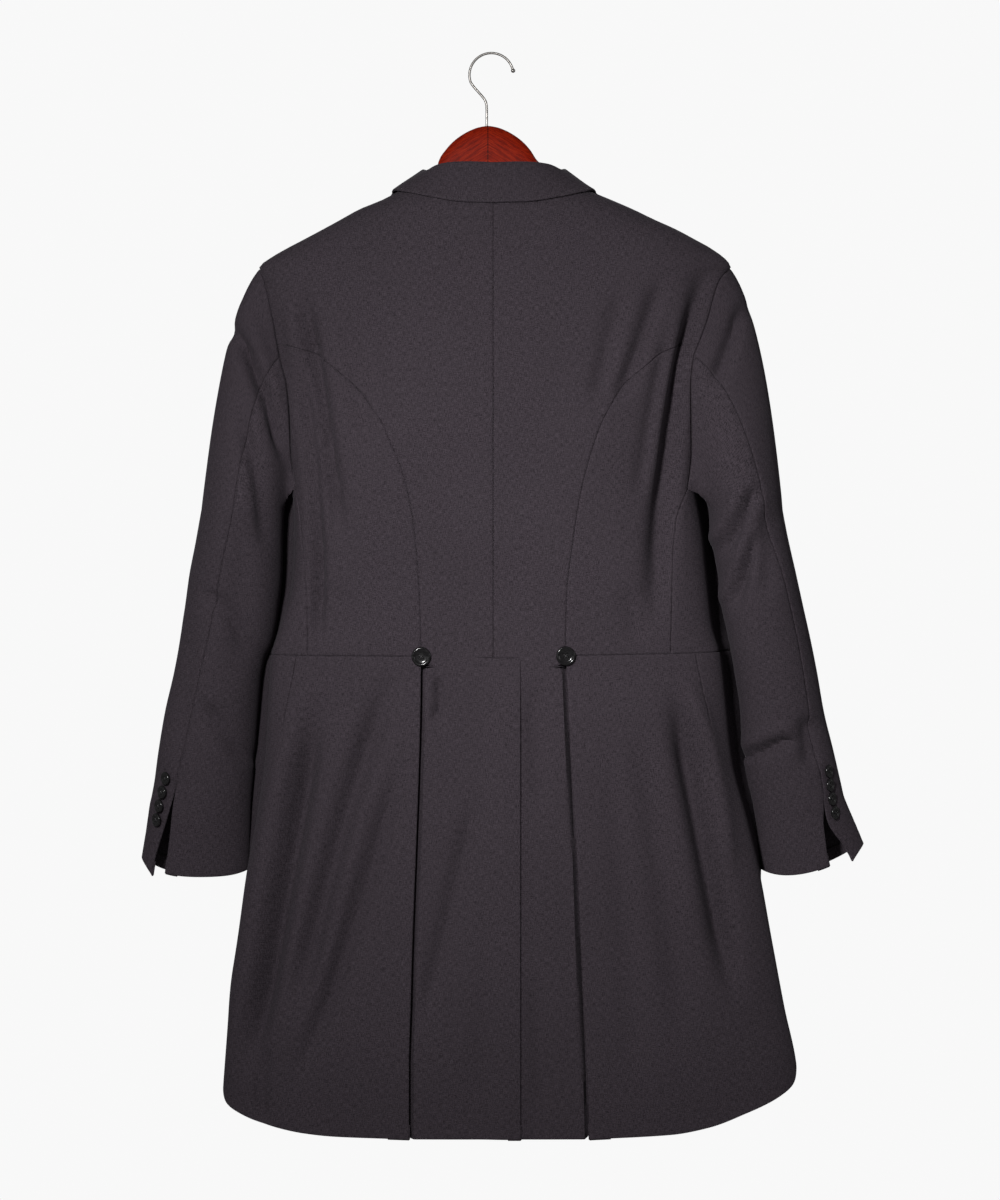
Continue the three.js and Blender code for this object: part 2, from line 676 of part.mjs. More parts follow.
// ---------------------------------------------------------------- collar
// The front edge of the neck, from the shoulder seam (0) to the top of the roll line (1).
function frontNeck(side, u) {
  const last = frontTheta(side, at(FRONT_EDGE, "x", ROLL_TOP_Z), ROLL_TOP_Z);
  const theta = SHOULDER_THETA + (last - SHOULDER_THETA) * (1 - (1 - u) ** 2);
  return [theta, lerp(NECK_POINT_Z, ROLL_TOP_Z, u)];
}
function neckEdge(side, along) {
  if (along <= 1) return [SHOULDER_THETA * along, lerp(BACK_NECK_Z, NECK_POINT_Z, along)];
  if (along <= 2) return frontNeck(side, along - 1);
  const z = ROLL_TOP_Z - (along - 2) * 100;
  return [frontTheta(side, at(FRONT_EDGE, "x", z), z), z];
}
function addCollar() {
  const half = (side) => {
    const seat = (s) => neckEdge(side, s.along);
    return COLLAR.map((s, i) => {
      const [theta, z] = seat(s);
      const foot = ring(side, theta, z);
      const out = skinNormal(side, theta, z);
      const before = ring(side, ...seat(COLLAR[Math.max(0, i - 1)]));
      if (i === 0) before.copy(ring(side, ...seat(COLLAR[1]))).setX(-before.x);
      const after = ring(side, ...seat(COLLAR[Math.min(COLLAR.length - 1, i + 1)]));
      const up = after.sub(before).cross(out).normalize();
      if (up.z < 0) up.negate();
      const place = (rise, stand) => foot.clone().addScaledVector(up, rise).addScaledVector(out, stand);
      const seam = place(0, -COLLAR_INSET - (s.along > 1.6 ? ROLL_INSET : 0));
      const top = place(s.rise, s.stand);
      const inside = place(s.rise - COLLAR_ROLL, s.stand - COLLAR_ROLL);
      const outside = place(s.rise - COLLAR_ROLL, s.stand + COLLAR_ROLL);
      const over = (t) => {
        const [a, b] = [lerp(theta, s.edgeTheta, t), lerp(z, s.edgeZ, t)];
        return ring(side, a, b).addScaledVector(skinNormal(side, a, b), COLLAR_LIFT);
      };
      const fall = (t) => over(t).addScaledVector(outside.clone().sub(over(0)), 1 - t);
      const stand = seam.clone().lerp(inside, 0.5);
      return [seam, stand, inside, top, outside, fall(0.33), fall(0.67), fall(1)];
    });
  };
  const middle = [...half("left").slice(1).reverse(), ...half("right")];
  const rows = middle.length;
  const columns = middle[0].length;
  const normal = (i, j) => {
    const [a, b] = [middle[Math.max(0, i - 1)][j], middle[Math.min(rows - 1, i + 1)][j]];
    const [c, d] = [middle[i][Math.max(0, j - 1)], middle[i][Math.min(columns - 1, j + 1)]];
    return b.clone().sub(a).cross(d.clone().sub(c)).normalize();
  };
  const shift = (amount) =>
    middle.map((row, i) => row.map((p, j) => p.clone().addScaledVector(normal(i, j), amount)));
  add("collar", slab(shift(COLLAR_CLOTH / 2), shift(-COLLAR_CLOTH / 2)), wool());
}

// ---------------------------------------------------------------- sleeves
const capital = { left: "Left", right: "Right" };
function sleeveRing(side, z, angle) {
  const inner = at(SLEEVES, "inner" + capital[side], z);
  const outer = at(SLEEVES, "outer" + capital[side], z);
  const across = (inner + outer) / 2 - ((outer - inner) / 2) * Math.cos(radians(angle));
  const depth = at(SLEEVES, "depth", z);
  const y = at(SLEEVES, "centre", z) - depth * Math.sin(radians(angle));
  return new THREE.Vector3(SIGN[side] * across, y, z);
}
function sleeveNormal(side, z, angle) {
  const around = sleeveRing(side, z, angle + 1).sub(sleeveRing(side, z, angle - 1));
  const along = sleeveRing(side, z + 1, angle).sub(sleeveRing(side, z - 1, angle));
  return around.cross(along).normalize().multiplyScalar(SIGN[side]);
}
// The armhole as one closed loop: up the back, over the tip, down the front and under the arm.
function armhole(side, sideEdge) {
  const under = sideEdge.slice(1, ARMHOLE_SIDE.length);
  const up = [under[0], ...backArmhole(side).reverse()];
  const loop = [...up, tip, ...frontArmhole, ...under.slice(1).reverse()];
  const edge = loop.map(([theta, z]) => skin(side, theta, z));
  const count = loop.length;
  const run = [0];
  edge.forEach((p, i) => run.push(run[i] + p.distanceTo(edge[(i + 1) % count])));
  const [tipAt, foreAt] = [up.length, up.length + FORE_POINT];
  const angleOf = (j) => {
    if (j <= tipAt) return lerp(HIND_SEAM, 180, run[j] / run[tipAt]);
    if (j <= foreAt) return lerp(180, FORE_SEAM, (run[j] - run[tipAt]) / (run[foreAt] - run[tipAt]));
    return lerp(FORE_SEAM, 360 + HIND_SEAM, (run[j] - run[foreAt]) / (run[count] - run[foreAt]));
  };
  const centre = edge.reduce((sum, p) => sum.add(p), new THREE.Vector3()).divideScalar(count);
  // away: along the cloth, off the panels and into the opening
  const away = edge.map((p, j) => {
    const along = edge[(j + 1) % count].clone().sub(edge[(j + count - 1) % count]);
    const off = along.cross(skinNormal(side, loop[j][0], loop[j][1])).normalize();
    return off.dot(centre.clone().sub(p)) < 0 ? off.negate() : off;
  });
  const first = edge.map((p, j) => p.clone().addScaledVector(away[j], SEAM / 2));
  const angles = Array.from({ length: count + 1 }, (_, j) => angleOf(j));
  return { first, away, foreAt, count, angles };
}
function addSleeve(side, sideEdge) {
  const { first, away, foreAt, count, angles } = armhole(side, sideEdge);
  const top = SLEEVES[0].z;
  const grid = [first];
  for (const w of FAN) {
    grid.push(
      first.map((point, j) => {
        const level = sleeveRing(side, top, angles[j]);
        const lead = new THREE.Vector3(
          lerp(level.x, point.x, FAN_LEAD.x),
          lerp(level.y, point.y, FAN_LEAD.y),
          lerp(point.z, level.z, FAN_LEAD.z),
        );
        return point.clone().lerp(lead, w).lerp(lead.clone().lerp(level, w), w);
      }),
    );
  }
  const fan = grid.length;
  for (const { z } of SLEEVES) grid.push(first.map((_, j) => sleeveRing(side, z, angles[j])));
  const normals = grid.map((row, i) =>
    row.map((_, j) => {
      if (i > fan) return sleeveNormal(side, SLEEVES[i - fan].z, angles[j]);
      const along = grid[i + 1][j].clone().sub(grid[Math.max(0, i - 1)][j]);
      const around = row[(j + 1) % count].clone().sub(row[(j + count - 1) % count]);
      const normal = around.cross(along).normalize().multiplyScalar(-SIGN[side]);
      if (i === 0) normal.addScaledVector(away[j], -Math.max(0, normal.dot(away[j]))).normalize();
      return normal;
    }),
  );
  const pieces = { top_sleeve: [0, foreAt], under_sleeve: [foreAt, count] };
  for (const [name, [from, to]] of Object.entries(pieces)) {
    const columns = Array.from({ length: to - from + 1 }, (_, k) => from + k);
    const faces = [];
    const outer = grid.map((row, i) =>
      columns.map((j) => {
        const u = (angles[j] - angles[from]) / (angles[to] - angles[from]);
        faces[i] ??= [];
        const z = i < fan ? top : SLEEVES[i - fan].z;
        if (i < fan) {
          faces[i].push(normals[i][j % count]);
          return row[j % count].clone();
        }
        const vent = smooth((VENT_TOP_Z - z) / (VENT_TOP_Z - SLEEVES.at(-1).z));
        const near = from === 0 ? (1 - u) ** 2 : u ** 2;
        const turn = VENT_OPEN[side][from === 0 ? "flap" : "under"];
        const angle = angles[j] + (vent * turn + at(SEAM_LEAN, side, z)) * near;
        const point = sleeveRing(side, z, angle);
        const outward = Math.max(0, -Math.cos(radians(angle)));
        if (i === grid.length - 1) point.z += CUFF_RISE[side] * outward;
        faces[i].push(sleeveNormal(side, z, angle));
        return point;
      }),
    );
    add(name + "_" + side, wall(pullBack(outer, "start end"), faces), wool());
  }
}

// ---------------------------------------------------------------- buttons
// A turned button with a raised rim, its back at the origin and its face along +Y.
function buttonShape({ diameter, height }, segments) {
  const r = diameter / 2;
  const profile = [
    [0, 0],
    [r * 0.72, 0],
    [r, height * 0.45],
    [r * 0.97, height * 0.85],
    [r * 0.84, height],
    [r * 0.68, height * 0.66],
    [0, height * 0.62],
  ].map(([x, y]) => new THREE.Vector2(x, y));
  return new THREE.LatheGeometry(profile, segments);
}
function addButton(name, size, segments, point, normal) {
  const button = add(name, buttonShape(size, segments), horn());
  button.position.copy(point);
  button.quaternion.setFromUnitVectors(new THREE.Vector3(0, 1, 0), normal);
}
function addButtons() {
  for (const side of SIDES) {
    const theta = thetaAt(side, PLEAT[0][side], WAIST_Z);
    const z = waistZ(side, theta);
    const seat = skin(side, theta, z, WAIST_BUTTON_SEAT);
    addButton("waist_button_" + side, WAIST_BUTTON, 24, seat, skinNormal(side, theta, z));
  }
  const seat = skin("left", 180, FRONT_BUTTON.z, FRONT_BUTTON.seat);
  addButton("front_button", WAIST_BUTTON, 24, seat, skinNormal("left", 180, FRONT_BUTTON.z));
  for (const side of SIDES) {
    for (const [k, row] of CUFF_BUTTONS.entries()) {
      const z = side === "left" ? row.zLeft : row.zRight;
      const normal = sleeveNormal(side, z, row[side]);
      const point = sleeveRing(side, z, row[side]).addScaledVector(normal, CUFF_SEAT);
      normal.x += SIGN[side] * CUFF_TILT[side];
      addButton("cuff_button_" + side + "_" + (k + 1), CUFF_BUTTON, 16, point, normal.normalize());
    }
  }
}

// ---------------------------------------------------------------- hanger and hook
function addHanger() {
  // height of the shoulder ridge at a distance from the centre plane
  const ridge = (side, x) => {
    let [low, high] = [TIP_Z, NECK_POINT_Z];
    for (let i = 0; i < 30; i++) {
      const middle = (low + high) / 2;
      if (at(RINGS, side, middle) > x) low = middle;
      else high = middle;
    }
    return low;
  };
  const stations = [];
  for (const side of SIDES) {
    const list = [];
    for (const { x, z } of DOME) {
      const low = DOME_FOOT.z - x * DOME_FOOT.slope;
      list.push({ x: HANGER_CENTRE + SIGN[side] * x, top: z, low, wide: DOME_FOOT.wide });
    }
    for (const { x, below } of ARMS) {
      const share = (x - ARM_ROOT.x) / (ARM_TIP.x - ARM_ROOT.x);
      const round = x > ARM_TIP.x ? ARM_TIP.round : 0;
      const top = ridge(side, x) - below;
      const low = Math.min(ARM_ROOT.low, top - lerp(ARM_ROOT.tall, ARM_TIP.tall, share));
      const wide = lerp(ARM_ROOT.wide, ARM_TIP.wide, share);
      list.push({ x: SIGN[side] * x, top: top - round, low: low + round, wide: wide - round });
    }
    stations.push(side === "left" ? list.slice(1).reverse() : list);
  }
  const points = 14;
  const rings = stations.flat().map(({ x, top, low, wide }) => {
    const middle = (top + low) / 2;
    return Array.from({ length: points }, (_, k) => {
      const a = (k / points) * 2 * Math.PI;
      return new THREE.Vector3(x, wide * Math.cos(a), middle + ((top - low) / 2) * Math.sin(a));
    });
  });
  add("hanger", loft(rings), wood());
}
function addHook() {
  const centreZ = WIRE - HOOK_RADIUS; // the inside of the arc's top is the origin
  const line = HOOK_FOOT.map(({ x, z }) => ({ x, z }));
  for (let a = 200; a >= 14; a -= 12) {
    line.push({
      x: HOOK_CENTRE_X + HOOK_RADIUS * Math.cos(radians(a)),
      z: centreZ + HOOK_RADIUS * Math.sin(radians(a)),
    });
  }
  const stations = line.map((p) => ({ ...p, r: WIRE }));
  const [before, end] = stations.slice(-2);
  const ahead = new THREE.Vector2(end.x - before.x, end.z - before.z).normalize();
  for (const { step, radius } of HOOK_END) {
    stations.push({ x: end.x + ahead.x * step, z: end.z + ahead.y * step, r: radius });
  }
  const points = 10;
  const rings = stations.map(({ x, z, r }, i) => {
    const a = stations[Math.max(0, i - 1)];
    const b = stations[Math.min(stations.length - 1, i + 1)];
    const across = new THREE.Vector2(b.z - a.z, a.x - b.x).normalize();
    return Array.from({ length: points }, (_, k) => {
      const turn = (k / points) * 2 * Math.PI;
      const out = r * Math.cos(turn);
      return new THREE.Vector3(x + across.x * out, r * Math.sin(turn), z + across.y * out);
    });
  });
  add("hook", loft(rings), steel());
}

for (const side of SIDES) {
  addBack(side);
  const sideEdge = addSideBody(side);
  addForepart(side, sideEdge);
  addLapel(side);
  addSkirt(side);
  addSleeve(side, sideEdge);
}
addCollar();
addButtons();
addHanger();
addHook();

export default coat;
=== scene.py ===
# %% [markdown]
# # A morning coat on its hanger
# The coat is seen from the back. It is cut from one dark wool: two centre backs that run on
# into the tails, two side bodies, two foreparts with their lapels, two skirts, two-piece
# sleeves and a collar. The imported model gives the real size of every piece, so this script
# never scales or moves anything: it makes a finer piece in the place of each plain one.

import bmesh
import bpy
import numpy as np
from mathutils import Matrix, Vector


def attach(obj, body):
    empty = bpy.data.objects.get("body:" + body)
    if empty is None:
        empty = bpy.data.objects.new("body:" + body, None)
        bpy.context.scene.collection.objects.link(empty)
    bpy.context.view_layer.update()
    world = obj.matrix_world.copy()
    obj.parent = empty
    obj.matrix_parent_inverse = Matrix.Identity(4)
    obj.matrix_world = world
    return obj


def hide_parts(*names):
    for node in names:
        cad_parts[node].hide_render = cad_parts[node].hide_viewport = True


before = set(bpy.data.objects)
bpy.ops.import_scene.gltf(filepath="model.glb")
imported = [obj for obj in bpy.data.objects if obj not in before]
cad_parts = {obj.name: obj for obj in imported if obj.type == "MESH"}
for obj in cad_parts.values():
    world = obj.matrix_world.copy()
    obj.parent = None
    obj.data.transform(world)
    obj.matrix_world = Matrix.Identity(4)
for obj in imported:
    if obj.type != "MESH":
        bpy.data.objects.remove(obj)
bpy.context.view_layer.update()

MM = 0.001
SIGN = {"left": -1, "right": 1}

# %% [markdown]
# ## Camera
# A long lens far away keeps the coat as flat as a tailor's catalogue shows it. The camera
# looks along +Y, straight at the back, a little above the waist.

# %% Camera
CAMERA_X, CAMERA_Z, CAMERA_AWAY, LENS = 6.7, -572.8, 4500, 128.57
camera_data = bpy.data.cameras.new("camera")
camera_data.lens = LENS
camera_data.sensor_width = 36
camera = bpy.data.objects.new("camera", camera_data)
camera.location = (CAMERA_X * MM, -CAMERA_AWAY * MM, CAMERA_Z * MM)
camera.rotation_euler = (np.pi / 2, 0, 0)
bpy.context.scene.collection.objects.link(camera)
bpy.context.scene.camera = camera

# %% [markdown]
# ## Curves from short tables
# A pattern cutter writes a few measures down the body and joins them with a smooth curve.
# `table` keeps such measures under their names, and `curve` joins one column with a monotone
# cubic: it never swings past the measures, as a plain spline would. Sizes are millimetres.

# %% Tables and smooth curves
def table(columns, *rows):
    return {name: [row[i] for row in rows] for i, name in enumerate(columns.split())}


def curve(rows, column, key="z"):
    xs, ys = np.array(rows[key], float), np.array(rows[column], float)
    if xs[0] > xs[-1]:
        xs, ys = xs[::-1], ys[::-1]
    h = np.diff(xs)
    slope = np.diff(ys) / h
    a, b = slope[:-1], slope[1:]
    same_way = a * b > 0
    middle = np.where(same_way, 2 * a * b / np.where(same_way, a + b, 1), 0)
    m = np.concatenate([slope[:1], middle, slope[-1:]])

    def value(x):
        x = np.clip(x, xs[0], xs[-1])
        i = np.clip(np.searchsorted(xs, x, side="right") - 1, 0, len(h) - 1)
        s = (x - xs[i]) / h[i]
        return (
            ys[i] * (2 * s**3 - 3 * s**2 + 1)
            + m[i] * h[i] * (s**3 - 2 * s**2 + s)
            + ys[i + 1] * (3 * s**2 - 2 * s**3)
            + m[i + 1] * h[i] * (s**3 - s**2)
        )

    return value


def smooth(t):
    t = np.clip(t, 0, 1)
    return t * t * (3 - 2 * t)


def lerp(a, b, t):
    return a + (b - a) * t


# %% The body's rings
SQUARENESS = 2.5
RINGS = table(
    "z left right back front",
    (-134, 80, 80, 43, 40),
    (-143, 98, 97, 46, 44),
    (-153, 117, 122, 49, 48),
    (-163, 140, 146, 51.5, 51),
    (-174, 160, 169, 54, 54),
    (-184, 179, 191, 56, 56),
    (-195, 200, 212, 58, 58),
    (-205, 219, 230, 60, 61),
    (-216, 237, 244, 62, 64),
    (-224, 246, 249, 63, 66),
    (-250, 243, 244, 67, 71),
    (-300, 234, 231, 71, 78),
    (-350, 226, 221, 73, 84),
    (-400, 220, 215, 73, 86),
    (-450, 212, 212, 70, 85),
    (-500, 209, 219, 65, 79),
    (-550, 211, 224, 59, 71),
    (-600, 223, 230, 54, 62),
    (-632, 233, 239, 52, 58),
    (-680, 236, 244, 53, 58),
    (-740, 239, 250, 55, 59),
    (-800, 246, 265, 57, 60),
    (-860, 257, 279, 59, 61),
    (-930, 265, 292, 60, 61),
    (-1000, 274, 305, 61, 60),
    (-1060, 282, 318, 61, 58),
    (-1134, 287, 324, 60, 55),
)
# the unbuttoned fronts hang boxier and wider than the back, from a little in front of the middle
FLARE = table(
    "z left right",
    (-440, 0, 0),
    (-458, 13, 13),
    (-466, 18, 18),
    (-478, 19, 19.5),
    (-500, 19, 16),
    (-520, 19, 17),
    (-545, 19, 20),
    (-580, 16, 20),
    (-615, 9.5, 20),
    (-632, 13, 18),
    (-650, 16, 18.8),
    (-690, 16.8, 20.8),
    (-730, 19.4, 20),
    (-764, 19, 19),
    (-790, 17, 17),
    (-825, 13, 15),
    (-850, 8, 9),
    (-880, 0, 0),
)
FLARE_FROM, FLARE_RUN = 4, 44
FRONT_POWER = table("z power", (-440, 2.5), (-478, 4.5), (-530, 8), (-820, 8), (-900, 2.5))
front_power = curve(FRONT_POWER, "power")
HALF = {side: curve(RINGS, side) for side in SIGN}
FLARE_AT = {side: curve(FLARE, side) for side in SIGN}
BACK_DEPTH, FRONT_DEPTH = curve(RINGS, "back"), curve(RINGS, "front")


def theta_at(side, x, z):
    """Angle round the body, 0 at the centre back, of a point at distance x from the middle."""
    share = np.minimum(0.9995, np.abs(x) / HALF[side](z)) ** SQUARENESS
    return np.sign(x) * np.degrees(np.arctan((share / (1 - share)) ** (1 / SQUARENESS)))


def front_theta(side, x, z):
    return 180 - theta_at(side, x, z)


def ring(side, theta, z):
    s, c = np.sin(np.radians(theta)), np.cos(np.radians(theta))
    power = np.where(c > 0, SQUARENESS, front_power(z))
    k = (np.abs(s) ** power + np.abs(c) ** power) ** (-1 / power)
    y = -np.where(c > 0, BACK_DEPTH(z), FRONT_DEPTH(z)) * c * k
    half = HALF[side](z) + FLARE_AT[side](z) * smooth((y - FLARE_FROM) / FLARE_RUN)
    return np.stack([SIGN[side] * half * s * k, y, z + 0 * s], -1)


def unit(v):
    return v / np.maximum(np.linalg.norm(v, axis=-1, keepdims=True), 1e-9)


def skin_normal(side, theta, z):
    around = ring(side, theta + 0.5, z) - ring(side, theta - 0.5, z)
    along = ring(side, theta, z + 0.5) - ring(side, theta, z - 0.5)
    return SIGN[side] * unit(np.cross(around, along))


# %% [markdown]
# ## Folds, listed one by one
# An empty coat keeps the folds of its cut: long soft troughs run from each shoulder blade to
# the waist, and slanting ones fan out over the skirts. Cloth simulation would give some other
# coat's folds, so each one is drawn as three points down its length, a width and a depth.
# Troughs have a depth above 0 and ridges below 0.

# %% Fold tables
BACK_FOLDS = {
    "left": table(
        "z1 x1 z2 x2 z3 x3 width depth",
        (-250, 199, -380, 178, -505, 160, 8, 3.2),
        (-262, 214, -420, 194, -520, 186, 7, -2.4),
        (-310, 206, -440, 190, -625, 184, 7, 3.4),
        (-280, 150, -360, 139, -420, 128, 12, 1.3),
        (-290, 116, -340, 108, -400, 99, 12, 0.8),
        (-560, 160, -600, 156, -628, 158, 14, 0.8),
    ),
    "right": table(
        "z1 x1 z2 x2 z3 x3 width depth",
        (-226, 222, -400, 187, -590, 169, 12.5, 4.1),
        (-250, 203, -350, 180, -470, 164, 9, -1.6),
        (-240, 174, -310, 152, -370, 128, 9, 2.2),
        (-252, 133, -310, 119, -370, 106, 10, 1.4),
        (-288, 184, -390, 163, -470, 150, 8, 1.3),
        (-560, 140, -600, 146, -630, 150, 12, 0.7),
    ),
}
SKIRT_FOLDS = {
    "left": table(
        "z1 x1 z2 x2 z3 x3 width depth",
        (-690, 186, -850, 216, -1060, 256, 13, 5.5),
        (-680, 206, -840, 236, -1040, 272, 15, -3.5),
        (-655, 108, -800, 155, -1000, 206, 13, 3.6),
        (-740, 98, -880, 136, -1070, 204, 11, 2.6),
        (-760, 132, -880, 160, -1000, 186, 9, -1.6),
        (-1040, 235, -1085, 243, -1120, 238, 8, 1.6),
    ),
    "right": table(
        "z1 x1 z2 x2 z3 x3 width depth",
        (-680, 192, -800, 215, -980, 250, 12, 5.0),
        (-650, 200, -740, 228, -860, 244, 11, -3.0),
        (-700, 150, -860, 176, -1030, 200, 16, 1.4),
        (-720, 118, -900, 136, -1080, 150, 14, 0.9),
    ),
}
TAIL_FOLDS = {
    "left": table(
        "z1 x1 z2 x2 z3 x3 width depth",
        (-780, 20, -900, 46, -1010, 74, 11, 1.6),
        (-650, 60, -672, 56, -700, 62, 5, 1.6),
        (-860, 14, -960, 22, -1060, 30, 14, -0.8),
    ),
    "right": table(
        "z1 x1 z2 x2 z3 x3 width depth",
        (-660, 40, -720, 44, -790, 50, 12, 0.9),
        (-960, 42, -1020, 46, -1110, 50, 10, 1.0),
    ),
}
FRONT_FOLDS = {
    side: table(
        "z1 x1 z2 x2 z3 x3 width depth",
        (-260, 196, -400, 172, -560, 150, 12, 3.0),
        (-330, 150, -450, 128, -560, 100, 12, 1.6),
        (-690, 196, -850, 222, -1020, 250, 14, 4.0),
        (-700, 150, -820, 170, -900, 186, 12, 2.0),
    )
    for side in SIGN
}


# millimetres of relief for each unit of depth in the tables; the hidden front's folds are flatter
TROUGH, RIDGE, FRONT_STRENGTH = 4.3, 2.6, 0.4


def fold_relief(folds, x, z):
    """Height of a set of folds over points at distance x from the middle."""
    height = np.zeros(np.broadcast(x, z).shape)
    for z1, x1, z2, x2, z3, x3, width, depth in zip(*folds.values()):
        t = (z - z1) / (z3 - z1)
        middle = (z2 - z1) / (z3 - z1)
        bend = (x2 - lerp(x1, x3, middle)) / (middle * (1 - middle))
        centre = lerp(x1, x3, t) + bend * t * (1 - t)
        lean = np.hypot(1, (x3 - x1) / (z3 - z1))
        across = (x - centre) / width / lean
        fade = smooth(t / 0.3 + 0.25) * smooth((1 - t) / 0.3 + 0.25)
        strength = TROUGH if depth > 0 else RIDGE
        height -= strength * depth * fade * np.exp(-across * across)
    return height


def unevenness(side, x, z):
    """The slight waviness that no pressed cloth is free of."""
    p = SIGN[side] * x
    wave = 0.35 * np.sin(p / 23 + z / 71 + 1.3) * np.sin(z / 93 - p / 160 + 0.4)
    wave += 0.22 * np.sin(p / 13.5 - z / 118 + 2.1) * np.sin(z / 57 + 0.9)
    return wave + 0.12 * np.sin(p / 9.1 + z / 39) * np.sin(z / 31 - p / 47 + 1.7)


def settle(side, x, z):
    """Folds die away towards the waist seam and the armhole, where two pieces have to meet."""
    beside = np.where(z > UNDERARM_Z, curve(ARMHOLE_SIDE, side)(z), 400)
    edge = np.where(z > SEAM_TOP_Z, curve(ARMHOLE_BACK, side)(z), beside)
    return smooth((np.abs(z - WAIST_Z) - 7) / 22) * smooth((edge - x) / 13 + 0.05)


def body_relief(side, point, z, folds):
    x = np.abs(point[..., 0])
    on_back = smooth((8 - point[..., 1]) / 16)
    back = fold_relief(folds, x, z)
    front = FRONT_STRENGTH * fold_relief(FRONT_FOLDS[side], x, z)
    return (on_back * back + (1 - on_back) * front) * settle(side, x, z) + unevenness(side, x, z)


# %% [markdown]
# ## How a panel is made
# A panel starts as a flat grid (`bmesh.ops.create_grid`), as cloth starts flat on the table.
# Its points then move to the body's skin, are pushed out or in by the folds, and the grid's
# outermost columns and rows take the shape of the edge: sunk into a seam, or turned under
# round a fold. A Solidify modifier gives the cloth its thickness. One could also sew plain
# panels with the cloth simulation, but it would not stop at these folds.

# %% Edge shapes: distance in from the edge, and height above the skin
CLOTH = 1.1
SEAM_EDGE = [(-2.2, -2.9), (0.1, -1.5), (0.45, -1.0), (0.85, -0.6), (1.4, -0.3), (2.4, -0.1), (4.4, 0)]
SLEEVE_HEAD_EDGE = [
    (-4, -2.8), (0.1, -0.9), (0.45, -0.5), (0.85, -0.25), (1.4, -0.1), (2.4, 0), (4.4, 0),
]
RAW_EDGE = [(x, 0) for x in (0.1, 0.4, 0.8, 1.2, 2, 3, 4.4)]


def turned_edge(radius, under, steps=6):
    """Cloth folded back under itself, from the hidden raw edge round to the outside."""
    hidden = [(radius + under, -2 * radius), (radius + under / 2, -2 * radius)]
    turns = [np.pi * (1 - i / steps) for i in range(steps + 1)]
    arc = [(radius - radius * np.sin(a), -radius * (1 - np.cos(a))) for a in turns]
    return hidden + arc + [(4.4, 0)]


HEM_EDGE = turned_edge(1.1, 14)
DART_HALF = [(0.2, -1.3), (0.6, -0.5), (1.3, -0.15), (2.6, 0)]
DART_GROOVE = [(-x, h) for x, h in reversed(DART_HALF)] + DART_HALF
TURNED_EDGE = turned_edge(1.2, 12)


def padded_to(edge, other):
    """The same edge with its first point repeated, so that it has as many as the other."""
    return [edge[0]] * max(0, len(other) - len(edge)) + list(edge)


def between(a, b, count):
    return np.linspace(a, b, count + 2)[1:-1]


def spread(length, start, end, columns, dart=None):
    """Distances and heights along one row, with an edge shape at each end and a dart between."""
    squeeze = min(1, length / (2.2 * max(start[-1][0], end[-1][0])))
    first = [x * squeeze for x, _ in start]
    last = [length - x * squeeze for x, _ in reversed(end)]
    middle, heights = between(first[-1], last[0], columns), [0] * columns
    if dart:
        at, depth = dart
        before, after = columns // 4, columns - columns // 4
        groove = [at + x for x, _ in DART_GROOVE]
        middle = [*between(first[-1], groove[0], before), *groove, *between(groove[-1], last[0], after)]
        heights = [0] * before + [h * depth for _, h in DART_GROOVE] + [0] * after
    heights = [h for _, h in start] + heights + [h for _, h in reversed(end)]
    return np.concatenate([first, middle, last]), np.array(heights, float)


# %% Grid of points to a piece of cloth
def cloth_piece(name, points, cut, outward, thickness=CLOTH):
    """points is a grid in millimetres; cut is its flat pattern, kept as the piece's UV map."""
    rows, columns = points.shape[:2]
    sheet = bmesh.new()
    bmesh.ops.create_grid(sheet, x_segments=columns - 1, y_segments=rows - 1, size=1)
    mesh = bpy.data.meshes.new(name)
    sheet.to_mesh(mesh)
    mesh.vertices.foreach_set("co", (points * MM).reshape(-1))
    corners = np.empty(len(mesh.loops), int)
    mesh.loops.foreach_get("vertex_index", corners)
    uv_map = mesh.uv_layers.new(name="cut")
    uv_map.data.foreach_set("uv", (cut.reshape(-1, 2) * MM)[corners].reshape(-1))
    sheet.clear()
    sheet.from_mesh(mesh)
    sheet.normal_update()
    sheet.verts.ensure_lookup_table()
    middle = sheet.verts[rows // 2 * columns + columns // 2]
    if middle.normal.dot(Vector(outward)) < 0:
        bmesh.ops.reverse_faces(sheet, faces=sheet.faces)
    bmesh.ops.remove_doubles(sheet, verts=sheet.verts, dist=0.02 * MM)
    return finished(name, sheet, thickness)


def finished(name, shape, thickness=0, sharp_degrees=50):
    """A bmesh becomes an object: a wall if it has a thickness, smooth, with crisp cut edges."""
    for face in shape.faces:
        face.smooth = True
    mesh = bpy.data.meshes.new(name)
    shape.to_mesh(mesh)
    shape.free()
    piece = bpy.data.objects.new(name, mesh)
    bpy.context.scene.collection.objects.link(piece)
    if thickness:
        wall = piece.modifiers.new("thickness", "SOLIDIFY")
        wall.thickness = thickness * MM
        wall.offset = -1
        bpy.context.view_layer.update()
        solid = piece.evaluated_get(bpy.context.evaluated_depsgraph_get())
        piece.data = bpy.data.meshes.new_from_object(solid)
        piece.modifiers.clear()
    piece.data.set_sharp_from_angle(angle=np.radians(sharp_degrees))
    return piece


# %% Panel builder
WOOL_PIECES = {}


def wool_piece(name, points, cut, outward):
    """The name is the plain solid's own, so that the piece can take its place at the end."""
    piece = cloth_piece(name + "_cloth", points, cut, outward)
    WOOL_PIECES[name] = piece


def row_lengths(points):
    """Length run along each row, from its first point, for a grid with rows along axis 1."""
    steps = np.linalg.norm(np.diff(points, axis=1), axis=-1)
    return np.concatenate([np.zeros((len(points), 1)), np.cumsum(steps, 1)], 1)


